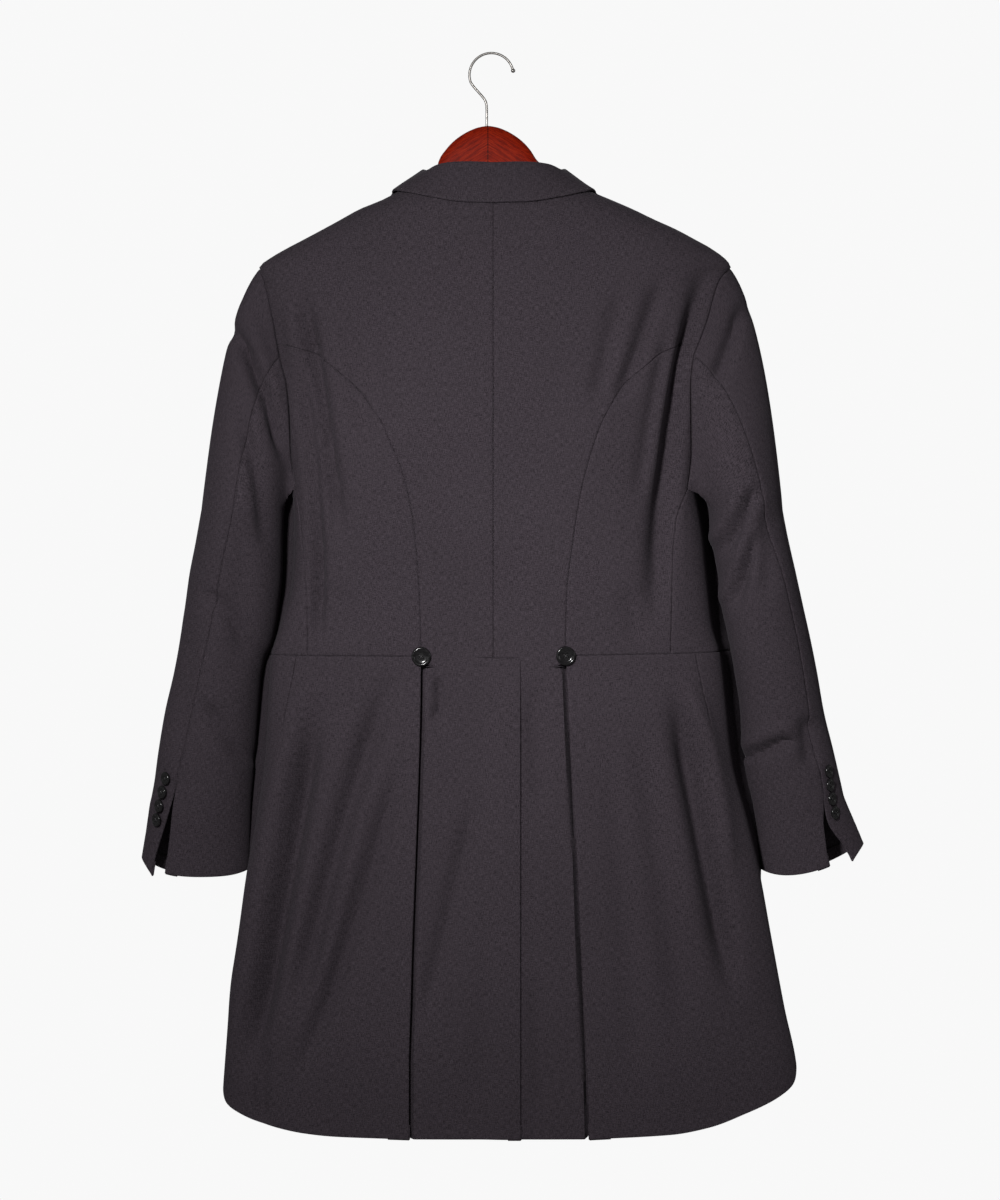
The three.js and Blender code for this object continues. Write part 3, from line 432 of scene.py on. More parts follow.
def spread_rows(widths, start_edges, end_edges, columns, darts=None):
    """An edge shape is one list of points for every row, or one such list for each row."""
    count = len(widths)
    starts, ends = (e if isinstance(e[0], list) else [e] * count for e in (start_edges, end_edges))
    rows = zip(widths, starts, ends, darts or [None] * count)
    made = [spread(width, start, end, columns, dart) for width, start, end, dart in rows]
    return [np.array(part) for part in zip(*made)]


def sunk_edges(edge_height, row_height):
    """Depth below the skin where a row's edge and a column's edge meet: round, not added up."""
    return (np.abs(edge_height) ** 3 + np.abs(row_height[:, None]) ** 3) ** (1 / 3)


def panel(
    name, side, start, end, columns, start_edges, end_edges, row_height, relief, bend=None, darts=None,
):
    """start and end are (theta, z) down the two edges."""
    steps = np.linspace(0, 1, 25)
    lines = [ring(side, lerp(start[0], end[0], u), lerp(start[1], end[1], u)) for u in steps]
    widths = row_lengths(np.stack(lines, 1))[:, -1]
    distance, edge_height = spread_rows(widths, start_edges, end_edges, columns, darts)
    u = distance / widths[:, None]
    theta = lerp(start[0][:, None], end[0][:, None], u)
    z = lerp(start[1][:, None], end[1][:, None], u)
    if bend:
        theta, z = bend(theta, z, u)
    plain, normal = ring(side, theta, z), skin_normal(side, theta, z)
    depth = sunk_edges(edge_height, row_height)
    points = plain + normal * (relief(plain, z) - depth)[..., None]
    grain = plain[:, :1, 0] + SIGN[side] * row_lengths(plain)
    middle = len(widths) // 2
    return wool_piece(name, points, np.stack([grain, z], -1), normal[middle, u.shape[1] // 2])


def levels(*stops):
    """Heights of the rows, from stops of (z, step to the next stop)."""
    made = []
    for (a, step), (b, _) in zip(stops, stops[1:]):
        count = max(1, round((a - b) / step))
        made.extend(np.linspace(a, b, count + 1)[:-1])
    return np.array(made + [stops[-1][0]])


def with_edges(z, top, bottom):
    """A run of row heights with an edge shape's rows at its top and bottom."""
    head = [z[0] - x for x, _ in top]
    foot = [z[-1] + x for x, _ in reversed(bottom)]
    clear = 0.5
    inner = z[(z < head[-1] - clear) & (z > foot[0] + clear)]
    heights = [h for _, h in top] + [0] * len(inner) + [h for _, h in reversed(bottom)]
    return np.concatenate([head, inner, foot]), np.array(heights, float)


# %% [markdown]
# ## Edges and laps of the body
# Each edge is a short table down the body, so that two neighbours share their seam exactly.
# The left front and the left tail lap over the right ones by one layer of cloth.

# %% Edges shared by the body panels
WAIST_Z, HEM_Z, SEAM_TOP_Z = -632, -1132, -306
WAIST_RISE = {"left": 2, "right": 6}
BACK_NECK_Z, NECK_POINT_Z, TIP_Z = -143, -134, -224
SHOULDER_THETA = 95
ROLL_TOP_Z = -165
ARMHOLE_BACK = table(
    "z left right",
    (-224, 246, 249),
    (-237, 241, 237),
    (-252, 237, 231),
    (-278, 231, 224),
    (-306, 226, 214),
)
ARMHOLE_SIDE = table(
    "z left right",
    (-306, 226, 214),
    (-320, 223.5, 209),
    (-350, 216, 206),
    (-384, 213, 206.5),
    (-420, 212, 207),
    (-458, 207.5, 203),
)
ARMHOLE_FRONT = table(
    "z theta",
    (-224, 95),
    (-236, 99),
    (-258, 104),
    (-295, 109),
    (-335, 112),
    (-375, 112),
    (-410, 109),
    (-434, 104),
    (-447, 97),
    (-453, 88),
)
UNDERARM_Z = -458
BACK_SEAM = table(
    "z left right",
    (-306, 226, 214),
    (-308.5, 210, 197),
    (-312, 200, 185),
    (-318, 187, 173),
    (-327, 173, 162),
    (-339, 158, 148),
    (-353, 143, 134),
    (-371, 129, 122),
    (-390, 115.5, 112),
    (-412, 106, 104),
    (-436, 96, 97),
    (-465, 88, 90),
    (-510, 81, 83),
    (-572, 76.5, 76),
    (-632, 75, 75),
)
SIDE_SEAM = table(
    "z left right",
    (-458, 207.5, 203),
    (-485, 203, 193.5),
    (-515, 200, 189.5),
    (-550, 197.5, 187.5),
    (-590, 195, 186),
    (-632, 194.5, 185.5),
)
PLEAT = table(
    "z left right",
    (-632, 75, 75),
    (-700, 76, 78.5),
    (-770, 78, 82.5),
    (-850, 81, 87),
    (-930, 84, 90.5),
    (-1000, 86, 94),
    (-1060, 87.5, 97),
    (-1132, 87.5, 99.5),
)
FRONT_EDGE = table(
    "z x",
    (-165, 76),
    (-200, 70),
    (-260, 61),
    (-320, 51),
    (-380, 41),
    (-440, 31),
    (-500, 22),
    (-550, 13),
    (-578, 5),
    (-602, -8),
    (-628, -14),
)
pleat_x = {side: curve(PLEAT, side) for side in SIGN}
side_seam_x = {side: curve(SIDE_SEAM, side) for side in SIGN}
front_edge_x = curve(FRONT_EDGE, "x")
front_armhole_theta = {}
for side in SIGN:
    underarm = theta_at(side, ARMHOLE_SIDE[side][-1], UNDERARM_Z)
    closed = {"z": ARMHOLE_FRONT["z"] + [UNDERARM_Z], "theta": ARMHOLE_FRONT["theta"] + [underarm]}
    front_armhole_theta[side] = curve(closed, "theta")


def waist_z(side, theta):
    return WAIST_Z + WAIST_RISE[side] * np.minimum(90, np.abs(theta)) / 90


def slanted_to_waist(side, theta, z):
    """The last rows above the waist take up the slant of its seam."""
    return z + smooth((WAIST_Z + 60 - z) / 60) * (waist_z(side, theta) - WAIST_Z)


LAP, VENT_LAP, VENT_STEP_Z = 3.6, 28, -633.5
PLEAT_UNDERLAP, PLEAT_SINK, PLEAT_TOP_Z, BLEND = 38, 9, -640, 5


def lap_for(side, x):
    """How far the left piece rises, and the right one sinks, where they lap at the centre."""
    lift = LAP * smooth((x + 15) / 30)
    return lift if side == "left" else lift - LAP


def front_lap(side, point):
    level = point[..., 2]
    near = (point[..., 1] > 0) & (np.abs(point[..., 0]) < 20) & (level < -480) & (level > -660)
    return np.where(near, lap_for(side, point[..., 0]), 0)


# %% [markdown]
# ## Centre backs with their tails
# Each back is one length of cloth from the neck to the hem. Below the waist the left tail
# laps over the right one, with a step where the vent begins, and both run on under the
# skirts, where the pleats open.

# %% Centre backs
BACK_ROWS = (
    (NECK_POINT_Z, 4.5), (TIP_Z, 4.2), (-304, 0.35), (-314, 2.2), (-345, 3.8), (-622, 2.5),
    (-629, 0.7), (WAIST_Z, 1), (WAIST_Z - 1, 0.6), (-638, 2), (-650, 4.5), (HEM_Z, 1),
)
TUCK_DEPTH, STEP_DEPTH, UNDERLAP_RISE, UNDERLAP_FROM = 2.6, 0.9, 6, 0.745


def make_back(side):
    armhole, seam = curve(ARMHOLE_BACK, side), curve(BACK_SEAM, side)
    z_end, row_height = with_edges(levels(*BACK_ROWS), SEAM_EDGE, HEM_EDGE)
    reach = pleat_x[side](z_end) + PLEAT_UNDERLAP * smooth((PLEAT_TOP_Z - z_end) / BLEND)
    below_armhole = np.where(z_end > WAIST_Z, seam(z_end), reach)
    x_end = np.where(z_end > SEAM_TOP_Z, armhole(z_end), below_armhole)
    theta_end = np.where(z_end > TIP_Z, SHOULDER_THETA, theta_at(side, x_end, z_end))
    share = (z_end - NECK_POINT_Z) / (TIP_Z - NECK_POINT_Z)
    z_start = np.where(z_end > TIP_Z, lerp(BACK_NECK_Z, TIP_Z, share), z_end)
    below = z_end < WAIST_Z - 0.5
    theta_start = theta_at(side, np.where(below, -VENT_LAP, 0), z_start)

    def relief(point, z):
        to_right = point[..., 0]
        x = SIGN[side] * to_right
        sink = PLEAT_SINK * smooth((x - pleat_x[side](z) + 1.1 * BLEND) / BLEND)
        body, tail = fold_relief(BACK_FOLDS[side], x, z), fold_relief(TAIL_FOLDS[side], x, z)
        if side == "right":
            tail = tail * smooth((x - VENT_LAP + 4) / 16)  # flat where the left tail laps over it
        folds = np.where(z > WAIST_Z, body, tail) * settle(side, x, z)
        lapped = smooth((WAIST_Z - 0.1 - z) / 0.8)
        lap = lap_for(side, to_right) * lerp(0.4, 1, smooth((WAIST_Z - z) / 70))
        height = folds + unevenness(side, x, z) + lapped * (lap - sink)
        if side == "left":  # the seam allowance that is tucked in at the top of the vent
            over_vent = smooth((WAIST_Z + 0.2 - z) / 0.4) * smooth((z - WAIST_Z + 3.2) / 2)
            return height - TUCK_DEPTH * smooth((to_right + 3) / 4) * over_vent
        at_step = smooth((to_right + 1) / 2) * smooth((VENT_LAP + 1 - to_right) / 2)
        return height - STEP_DEPTH * np.exp(-(((z - VENT_STEP_Z) / 0.9) ** 2)) * at_step

    def bend(theta, z, u):
        """The part hidden under the skirt ends a little higher than the skirt's hem."""
        return theta, z + UNDERLAP_RISE * smooth((u - UNDERLAP_FROM) / 0.05) * smooth((-1000 - z) / 100)

    vent = TURNED_EDGE if side == "left" else padded_to(RAW_EDGE, TURNED_EDGE)
    seam_edge = padded_to(SEAM_EDGE, TURNED_EDGE)
    start_edges = [vent if low else seam_edge for low in below]
    start, end = (theta_start, z_start), (theta_end, z_end)
    panel("back_" + side, side, start, end, 48, start_edges, SEAM_EDGE, row_height, relief, bend)


for side in SIGN:
    make_back(side)

# %% [markdown]
# ## Side bodies
# The side body fills in between the curved back seam and the side, under the arm. It starts
# as a sliver at the armhole and widens down to the waist.

# %% Side bodies
def make_side_body(side):
    armhole, seam = curve(ARMHOLE_SIDE, side), curve(BACK_SEAM, side)
    runs = levels((-306.4, 0.6), (-318, 2.4), (-345, 3.8), (WAIST_Z, 1))
    z, row_height = with_edges(runs, RAW_EDGE, SEAM_EDGE)
    outer = np.where(z > UNDERARM_Z, armhole(z), side_seam_x[side](z))
    start, end = (theta_at(side, seam(z), z), z), (theta_at(side, outer, z), z)

    def bend(theta, level, u):
        return theta, slanted_to_waist(side, theta, level)

    def relief(point, level):
        return body_relief(side, point, level, BACK_FOLDS[side])

    panel("side_body_" + side, side, start, end, 26, SEAM_EDGE, SEAM_EDGE, row_height, relief, bend)


for side in SIGN:
    make_side_body(side)

# %% [markdown]
# ## Foreparts and lapels
# The foreparts close with one button at the waist and roll open above it. The lapel is the
# forepart's own facing turned back, so it lies one layer above it along the same roll line.

# %% Foreparts
def front_neck_theta(side, u):
    last = front_theta(side, front_edge_x(ROLL_TOP_Z), ROLL_TOP_Z)
    return lerp(SHOULDER_THETA, last, 1 - (1 - u) ** 2)


def make_forepart(side):
    runs = levels((NECK_POINT_Z, 4.5), (TIP_Z, 3), (-262, 4.5), (-425, 2), (-458, 4), (WAIST_Z, 1))
    z_start, row_height = with_edges(runs, SEAM_EDGE, SEAM_EDGE)
    by_side = theta_at(side, side_seam_x[side](z_start), z_start)
    side_theta = np.where(z_start > UNDERARM_Z, front_armhole_theta[side](z_start), by_side)
    theta_start = np.where(z_start > TIP_Z, SHOULDER_THETA, side_theta)
    z_end = lerp(ROLL_TOP_Z, WAIST_Z, (z_start - NECK_POINT_Z) / (WAIST_Z - NECK_POINT_Z))
    theta_end = front_theta(side, front_edge_x(z_end), z_end)

    def bend(theta, z, u):
        neck = front_neck_theta(side, u) - lerp(SHOULDER_THETA, theta_end[0], u)
        top = smooth((z_start[:, None] - TIP_Z) / (NECK_POINT_Z - TIP_Z))
        return theta + neck * top, slanted_to_waist(side, theta, z)

    def relief(point, z):
        return body_relief(side, point, z, BACK_FOLDS[side]) + front_lap(side, point)

    start, end = (theta_start, z_start), (theta_end, z_end)
    panel("forepart_" + side, side, start, end, 52, SEAM_EDGE, TURNED_EDGE, row_height, relief, bend)


for side in SIGN:
    make_forepart(side)

# %% Lapels
LAPEL_EDGE = table(
    "z x",
    (-222, 158),
    (-245, 150),
    (-300, 128),
    (-360, 107),
    (-420, 88),
    (-480, 67),
    (-530, 38),
    (-548, 23),
)
LAPEL_TOP_Z, LAPEL_FOOT_Z, LAPEL_LIFT = -205, -554, 3.2
lapel_edge_x = curve(LAPEL_EDGE, "x")


def make_lapel(side):
    runs = levels((LAPEL_TOP_Z, 4.5), (LAPEL_FOOT_Z, 1))
    z_start, row_height = with_edges(runs, TURNED_EDGE, SEAM_EDGE)
    share = (z_start - LAPEL_TOP_Z) / (LAPEL_FOOT_Z - LAPEL_TOP_Z)
    z_end = lerp(LAPEL_EDGE["z"][0], LAPEL_EDGE["z"][-1], share)
    start = (front_theta(side, front_edge_x(z_start) + 0.5, z_start), z_start)
    end = (front_theta(side, lapel_edge_x(z_end), z_end), z_end)

    def relief(point, z):
        return body_relief(side, point, z, BACK_FOLDS[side]) + front_lap(side, point) + LAPEL_LIFT

    panel("lapel_" + side, side, start, end, 18, SEAM_EDGE, TURNED_EDGE, row_height, relief)


for side in SIGN:
    make_lapel(side)

# %% [markdown]
# ## Skirts
# Each skirt hangs from the waist seam, from the pleat behind round to the front, where its
# edge is cut away in one long curve. The pleat's edge is a soft turned fold that stands a
# few millimetres clear of the tail below it.

# %% Skirts
CUTAWAY = table(
    "z theta",
    (-632, 178),
    (-660, 171),
    (-700, 163),
    (-750, 156),
    (-800, 149),
    (-860, 141),
    (-930, 130),
    (-1000, 117),
    (-1050, 105),
    (-1085, 93),
)
CORNER_Z = {"left": -1076, "right": -1052}
HEM_RISE = table(
    "share left right",
    (0, 0, 0),
    (0.2, 2, 4),
    (0.3, 5, 10.5),
    (0.43, 12.5, 25),
    (0.6, 24, 41.5),
    (0.76, 34, 55),
    (0.86, 43, 67),
    (1, 56, 80),
)
SKIRT_ROW_Z = (-632, -652, -700, -770, -850, -930, -1000, -1060, -1100, -1132)
SKIRT_DART = table("z left right", (-632, 182, 187), (-680, 190, 194), (-722, 196, 199))
PLEAT_LIFT, PLEAT_ROLL, SKIRT_COLUMNS = 0.8, 26, 164


def make_skirt(side):
    z_start, row_height = with_edges(levels((WAIST_Z, 4.5), (HEM_Z, 1)), SEAM_EDGE, HEM_EDGE)
    down = (z_start - WAIST_Z) / (HEM_Z - WAIST_Z)
    z_end = lerp(WAIST_Z, CORNER_Z[side], down)
    cut_z = lerp(WAIST_Z, CUTAWAY["z"][-1], down)
    start = (theta_at(side, pleat_x[side](z_start) + 0.15, z_start), z_start)
    end = (curve(CUTAWAY, "theta")(cut_z), z_end)
    row_share = np.interp(-z_start, -np.array(SKIRT_ROW_Z), np.arange(10) / 9)[:, None]
    rise = curve(HEM_RISE, side, "share")

    def bend(theta, z, u):
        """The top quarter of the rows takes the waist seam's slant, the last third the hem's."""
        top, foot = waist_z(side, theta) - WAIST_Z, HEM_Z + rise(u) - lerp(HEM_Z, CORNER_Z[side], u)
        near_top, near_foot = np.maximum(0, 1 - row_share * 4), np.maximum(0, row_share * 3 - 2)
        return theta, z + near_top * top + near_foot * foot

    def relief(point, z):
        away = np.abs(point[..., 0]) - pleat_x[side](z)
        pleat = PLEAT_LIFT * smooth((WAIST_Z - z) / 60) * np.exp(-((away / PLEAT_ROLL) ** 2))
        folds = body_relief(side, point, z, SKIRT_FOLDS[side])
        return folds + front_lap(side, point) + pleat * (point[..., 1] < 0)

    from_pleat = curve(SKIRT_DART, side)(z_start) - pleat_x[side](z_start)
    depth = smooth((z_start - SKIRT_DART["z"][-1]) / 30)
    darts = [(1.02 * across, deep) for across, deep in zip(from_pleat, depth)]
    edges = TURNED_EDGE, TURNED_EDGE
    panel("skirt_" + side, side, start, end, SKIRT_COLUMNS, *edges, row_height, relief, bend, darts)


for side in SIGN:
    make_skirt(side)

# %% [markdown]
# ## Sleeves
# A tailored sleeve is cut in two: the top sleeve outside, the under sleeve towards the body.
# Their rings follow the arm's bend down to the cuff. Above the first level ring the cloth
# fans out from the slanting armhole, which is drawn here as a smooth pull from each point of
# the armhole to its place on that ring.

# %% Sleeve rings
SLEEVES = table(
    "z inner_left outer_left inner_right outer_right centre depth",
    (-478, 219.5, 307, 226, 304, 4, 60),
    (-510, 221, 313, 229, 310, 5, 57),
    (-545, 222, 320, 236, 318, 7, 54),
    (-580, 226, 325, 240, 326, 10, 51),
    (-615, 232, 331, 247.5, 334, 13, 48),
    (-650, 244, 337, 254, 341, 16, 46),
    (-690, 248, 346, 260, 348, 19, 43),
    (-730, 251, 353, 262, 358, 22, 40),
    (-764, 254, 358, 268, 366, 24, 37),
    (-790, 256, 363, 274, 372, 25, 35),
    (-825, 257, 367, 279, 381, 26, 32),
    (-864, 258, 372, 282, 391, 27, 30),
)
SLEEVE_TOP_Z, CUFF_Z, VENT_TOP_Z = -478, -864, -764
FAN_LEAD = (0.37, 0.4, 0.825)  # how far towards the armhole, in x, y and z, the pull comes from
HIND_SEAM, FORE_SEAM = 112, 318
VENT_OPEN = {
    "left": {"top": 22, "under": 1.5, "power": 1},
    "right": {"top": 26, "under": -7.5, "power": 2},
}
CUFF_RISE = {"left": {"outer": 20, "power": 6}, "right": {"outer": 35, "power": 2.5}}
CUFF_INNER_RISE, FLAP_DROP, RISE_FROM_Z = 7, 9, -780
SEAM_LEAN = table(
    "z left right",
    (-478, -12.5, 8),
    (-530, -7, 15),
    (-594, -2.5, 18),
    (-680, 1, 16),
    (-720, 4.5, 14.5),
    (-764, 8.5, 13),
    (-792, 8.5, 6.6),
    (-818, 8.5, 1.5),
    (-835, 8.5, 2),
    (-864, 8.5, 3),
)
sleeve_curve = {name: curve(SLEEVES, name) for name in SLEEVES if name != "z"}
seam_lean = {side: curve(SEAM_LEAN, side) for side in SIGN}


def sleeve_ring(side, z, angle):
    inner, outer = sleeve_curve["inner_" + side](z), sleeve_curve["outer_" + side](z)
    across = (inner + outer) / 2 - (outer - inner) / 2 * np.cos(np.radians(angle))
    y = sleeve_curve["centre"](z) - sleeve_curve["depth"](z) * np.sin(np.radians(angle))
    return np.stack([SIGN[side] * across, y, z + 0 * angle], -1)


def sleeve_normal(side, z, angle):
    around = sleeve_ring(side, z, angle + 1) - sleeve_ring(side, z, angle - 1)
    along = sleeve_ring(side, z + 1, angle) - sleeve_ring(side, z - 1, angle)
    return SIGN[side] * unit(np.cross(around, along))


# %% Armhole, as one closed line
HIND_SEAM_Z, FORE_SEAM_Z = -320, -410


def armhole_line(side):
    """From the hind seam up the back, over the shoulder tip, down the front and under the arm.
    Returns the line, and the sleeve angle that each of its points belongs to."""
    back_z, front_z = np.linspace(HIND_SEAM_Z, TIP_Z, 40), np.linspace(TIP_Z, UNDERARM_Z, 120)[1:]
    under_z = np.linspace(UNDERARM_Z, HIND_SEAM_Z, 50)[1:]
    by_side, by_back = curve(ARMHOLE_SIDE, side), curve(ARMHOLE_BACK, side)
    x = np.where(back_z < SEAM_TOP_Z, by_side(back_z), by_back(back_z))
    back = theta_at(side, x, back_z)
    back[-1] = SHOULDER_THETA
    under = theta_at(side, by_side(under_z), under_z)
    theta = np.concatenate([back, front_armhole_theta[side](front_z), under])
    z = np.concatenate([back_z, front_z, under_z])
    plain, normal = ring(side, theta, z), skin_normal(side, theta, z)
    line = plain + normal * body_relief(side, plain, z, BACK_FOLDS[side])[..., None]
    run = row_lengths(line[None])[0]
    tip = len(back_z) - 1
    fore = tip + int(np.argmin(np.abs(front_z - FORE_SEAM_Z))) + 1
    marks = [run[0], run[tip], run[fore], run[-1]]
    angle = np.interp(run, marks, [HIND_SEAM, 180, FORE_SEAM, 360 + HIND_SEAM])
    return line, angle


def pick(line, at, wanted):
    """Points of a line where its measure `at` has the wanted values; straight on past its ends."""
    inside = np.stack([np.interp(wanted, at, line[:, k]) for k in range(3)], -1)
    before, after = np.minimum(wanted - at[0], 0)[..., None], np.maximum(wanted - at[-1], 0)[..., None]
    inside += before * (line[1] - line[0]) / max(at[1] - at[0], 1e-3)
    return inside + after * (line[-1] - line[-2]) / max(at[-1] - at[-2], 1e-3)


def pick_rows(grid, at, wanted):
    """The same, on each row of a grid."""
    return np.stack([pick(*row) for row in zip(grid, at, wanted)])


# %% Sleeve folds
SLEEVE_FOLDS = {
    "left": table(
        "z1 x1 z2 x2 z3 x3 width depth",
        (-285, 276, -350, 240, -430, 214, 8, 3.6),
        (-380, 268, -430, 248, -520, 236, 9, 2.2),
        (-262, 262, -330, 236, -400, 214, 9, -1.6),
        (-470, 262, -560, 262, -660, 268, 16, 1.2),
        (-560, 300, -600, 268, -640, 246, 9, 1.6),
        (-680, 300, -712, 280, -745, 256, 9, 1.6),
        (-600, 318, -660, 322, -740, 334, 12, 0.8),
    ),
    "right": table(
        "z1 x1 z2 x2 z3 x3 width depth",
        (-262, 262, -305, 246, -350, 228, 8, 2.8),
        (-455, 274, -490, 257, -525, 238, 6.5, 2.4),
        (-450, 256, -485, 243, -518, 226, 7, -2.0),
        (-505, 272, -545, 260, -582, 250, 6.5, 2.4),
        (-512, 262, -545, 250, -580, 239, 7, -1.8),
        (-470, 286, -520, 286, -575, 284, 12, 1.4),
        (-716, 310, -728, 288, -742, 266, 7, 2.0),
        (-702, 306, -714, 288, -728, 268, 8, -1.4),
        (-695, 328, -720, 330, -748, 332, 10, 2.0),
    ),
}


def sleeve_relief(side, points, behind):
    """behind is 1 on the back of the sleeve and 0 on its front."""
    x, z = np.abs(points[..., 0]), points[..., 2]
    folds = fold_relief(SLEEVE_FOLDS[side], x, z)
    return (0.35 + 0.65 * behind) * folds + unevenness(side, x, z)


# %% Make the sleeves
FAN_ROWS, SLEEVE_COLUMNS = 52, 34


def sleeve_fan(top, foot):
    """Points from the armhole down to the first level ring, as a grid with columns down it."""
    lead = lerp(foot, top, np.array(FAN_LEAD))
    w = np.linspace(0, 1, 90)[:, None, None]
    fan = lerp(lerp(top, lead, w), lerp(lead, foot, w), w).swapaxes(0, 1)
    run = row_lengths(fan)
    length = run[:, -1:]
    edge = np.array([d for d, _ in SLEEVE_HEAD_EDGE]) * np.minimum(1, length / 12)
    rest = np.linspace(edge[:, -1], length[:, 0], FAN_ROWS + 1, axis=1)[:, 1:]
    return pick_rows(fan, run, np.concatenate([edge, rest], 1)).swapaxes(0, 1)


def sleeve_below(side, z, angle, drop):
    """Points and normals on the level rings, with the cuff's rise and the flap's drop."""
    low, normal = sleeve_ring(side, z, angle), sleeve_normal(side, z, angle)
    outward = (1 - np.cos(np.radians(angle))) / 2
    rise = CUFF_RISE[side]["outer"] * outward ** CUFF_RISE[side]["power"]
    rise += CUFF_INNER_RISE * (1 - outward) ** 8
    low[..., 2] += np.clip((RISE_FROM_Z - z) / (RISE_FROM_Z - CUFF_Z), 0, 1) * (rise - drop)
    return low, normal


def make_sleeve_half(side, is_top):
    first, last = (HIND_SEAM, FORE_SEAM) if is_top else (FORE_SEAM, 360 + HIND_SEAM)
    angle = np.linspace(first, last, 140)
    u = (angle - first) / (last - first)
    by_hind_seam = (1 - u) ** 2 if is_top else u**2
    leaned = angle + seam_lean[side](SLEEVE_TOP_Z) * by_hind_seam
    fan = sleeve_fan(pick(*armhole_line(side), angle), sleeve_ring(side, SLEEVE_TOP_Z, leaned))
    fan_normal = np.cross(np.gradient(fan, axis=1), np.gradient(fan, axis=0))

    levels_down = levels((SLEEVE_TOP_Z - 4.5, 4.5), (CUFF_Z, 1))
    level_z, row_height = with_edges(levels_down, [(0, 0)], HEM_EDGE)
    heights = np.concatenate([[h for _, h in SLEEVE_HEAD_EDGE], np.zeros(FAN_ROWS), row_height])
    open_to = VENT_OPEN[side]["top" if is_top else "under"] * by_hind_seam
    vent = smooth((VENT_TOP_Z - level_z) / (VENT_TOP_Z - CUFF_Z)) ** VENT_OPEN[side]["power"]
    turned = angle + vent[:, None] * open_to + seam_lean[side](level_z)[:, None] * by_hind_seam
    zz = np.broadcast_to(level_z[:, None], turned.shape)
    drop = FLAP_DROP * by_hind_seam**4 if is_top else 0
    low, low_normal = sleeve_below(side, zz, turned, drop)

    dense = np.concatenate([fan, low])
    normals = np.concatenate([-SIGN[side] * unit(fan_normal), low_normal])
    widths = row_lengths(dense)
    seam = padded_to(SEAM_EDGE, TURNED_EDGE)
    hind = [seam] * len(fan) + [TURNED_EDGE if z < VENT_TOP_Z - 2 else seam for z in level_z]
    edges = (hind, SEAM_EDGE) if is_top else (SEAM_EDGE, hind)
    distance, edge_height = spread_rows(widths[:, -1], *edges, SLEEVE_COLUMNS)
    points = pick_rows(dense, widths, distance)
    normal = unit(pick_rows(normals, widths, distance))
    behind = smooth((sleeve_curve["centre"](points[..., 2]) + 12 - points[..., 1]) / 24)
    quiet = smooth(np.concatenate([np.arange(len(fan)) / 20, np.ones(len(level_z))]))[:, None]
    relief = quiet * sleeve_relief(side, points, behind) - sunk_edges(edge_height, heights)
    points = points + normal * relief[..., None]
    down = -row_lengths(points.swapaxes(0, 1))[points.shape[1] // 2]
    grain = distance - widths[:, -1:] / 2
    cut = np.stack([grain, np.broadcast_to(down[:, None], grain.shape)], -1)
    name = ("top_sleeve_" if is_top else "under_sleeve_") + side
    wool_piece(name, points, cut, normal[len(dense) // 2, points.shape[1] // 2])


for side in SIGN:
    for is_top in (True, False):
        make_sleeve_half(side, is_top)

# %% [markdown]
# ## Pick stitches
# The collar is edged by hand with tiny stitches, about five millimetres apart and two
# millimetres in from the edge. Each one is a small bead of thread, half sunk in the cloth.

# %% Pick stitches
STITCH_PITCH, STITCH_IN, STITCH_SUNK, STITCH_SIZE = 4.9, 2.3, 0.05, (0.95, 0.42, 0.34)
STITCHES = []


def pick_stitches(name, line, normals):
    """Beads of thread at an even pitch along a line of points, lying in the cloth's surface."""
    run = row_lengths(line[None])[0]
    at = np.arange(3, run[-1] - 3, STITCH_PITCH)
    out, ahead = (unit(pick(v, run, at)) for v in (normals, np.gradient(line, axis=0)))
    beads = bmesh.new()
    for point, up, along in zip(pick(line, run, at), out, ahead):
        turn = Matrix((along, np.cross(up, along), up)).transposed().to_4x4()
        bead = bmesh.ops.create_icosphere(beads, subdivisions=2, radius=MM)["verts"]
        seat = Matrix.Translation(Vector(point - up * STITCH_SUNK) * MM)
        place = seat @ turn @ Matrix.Diagonal((*STITCH_SIZE, 1))
        bmesh.ops.transform(beads, verts=bead, matrix=place)
    STITCHES.append(finished(name, beads, sharp_degrees=180))
    return STITCHES[-1]


# %% [markdown]
# ## Collar
# The collar is one strip: a stand inside the neck, a fold along the top, and a fall that lies
# over the back. Each section of it is drawn from the neck seam up, round the fold and down.

# %% Collar
COLLAR = table(
    "along rise stand edge_theta edge_z",
    (0, 26, 3, 0, -161),
    (0.21, 25.5, 3, 14, -160),
    (0.44, 24, 3, 30, -155),
    (0.69, 20, 4, 50, -149.5),
    (0.95, 15.5, 5, 76, -146.5),
    (1.2, 13, 4, 103, -147.5),
    (1.42, 10, 3.2, 124, -159),
    (1.65, 8, 2.4, 136, -172),
    (1.84, 8, 2.6, 140.5, -180),
    (2, 8, 2.8, 144.5, -188),
    (2.15, 7.5, 2.6, 149, -197),
    (2.31, 7, 2.6, 151, -204),
)
COLLAR_ROLL, COLLAR_INSET, ROLL_INSET, COLLAR_LIFT = 2.6, 5.3, 1.5, 4.1
ROLL_STARTS, COLLAR_STEP, COLLAR_COLUMNS = 1.42, 0.018, 40
collar_curve = {name: curve(COLLAR, name, "along") for name in COLLAR if name != "along"}


def neck_edge(side, along):
    """(theta, z) round the back neck (0 to 1), the front neck (1 to 2) and down the roll line."""
    roll_z = ROLL_TOP_Z - (along - 2) * 100
    front = front_neck_theta(side, np.clip(along - 1, 0, 1)), lerp(NECK_POINT_Z, ROLL_TOP_Z, along - 1)
    roll = front_theta(side, front_edge_x(roll_z), roll_z), roll_z
    back = SHOULDER_THETA * along, lerp(BACK_NECK_Z, NECK_POINT_Z, along)
    return [np.where(along <= 1, b, np.where(along <= 2, f, r)) for b, f, r in zip(back, front, roll)]


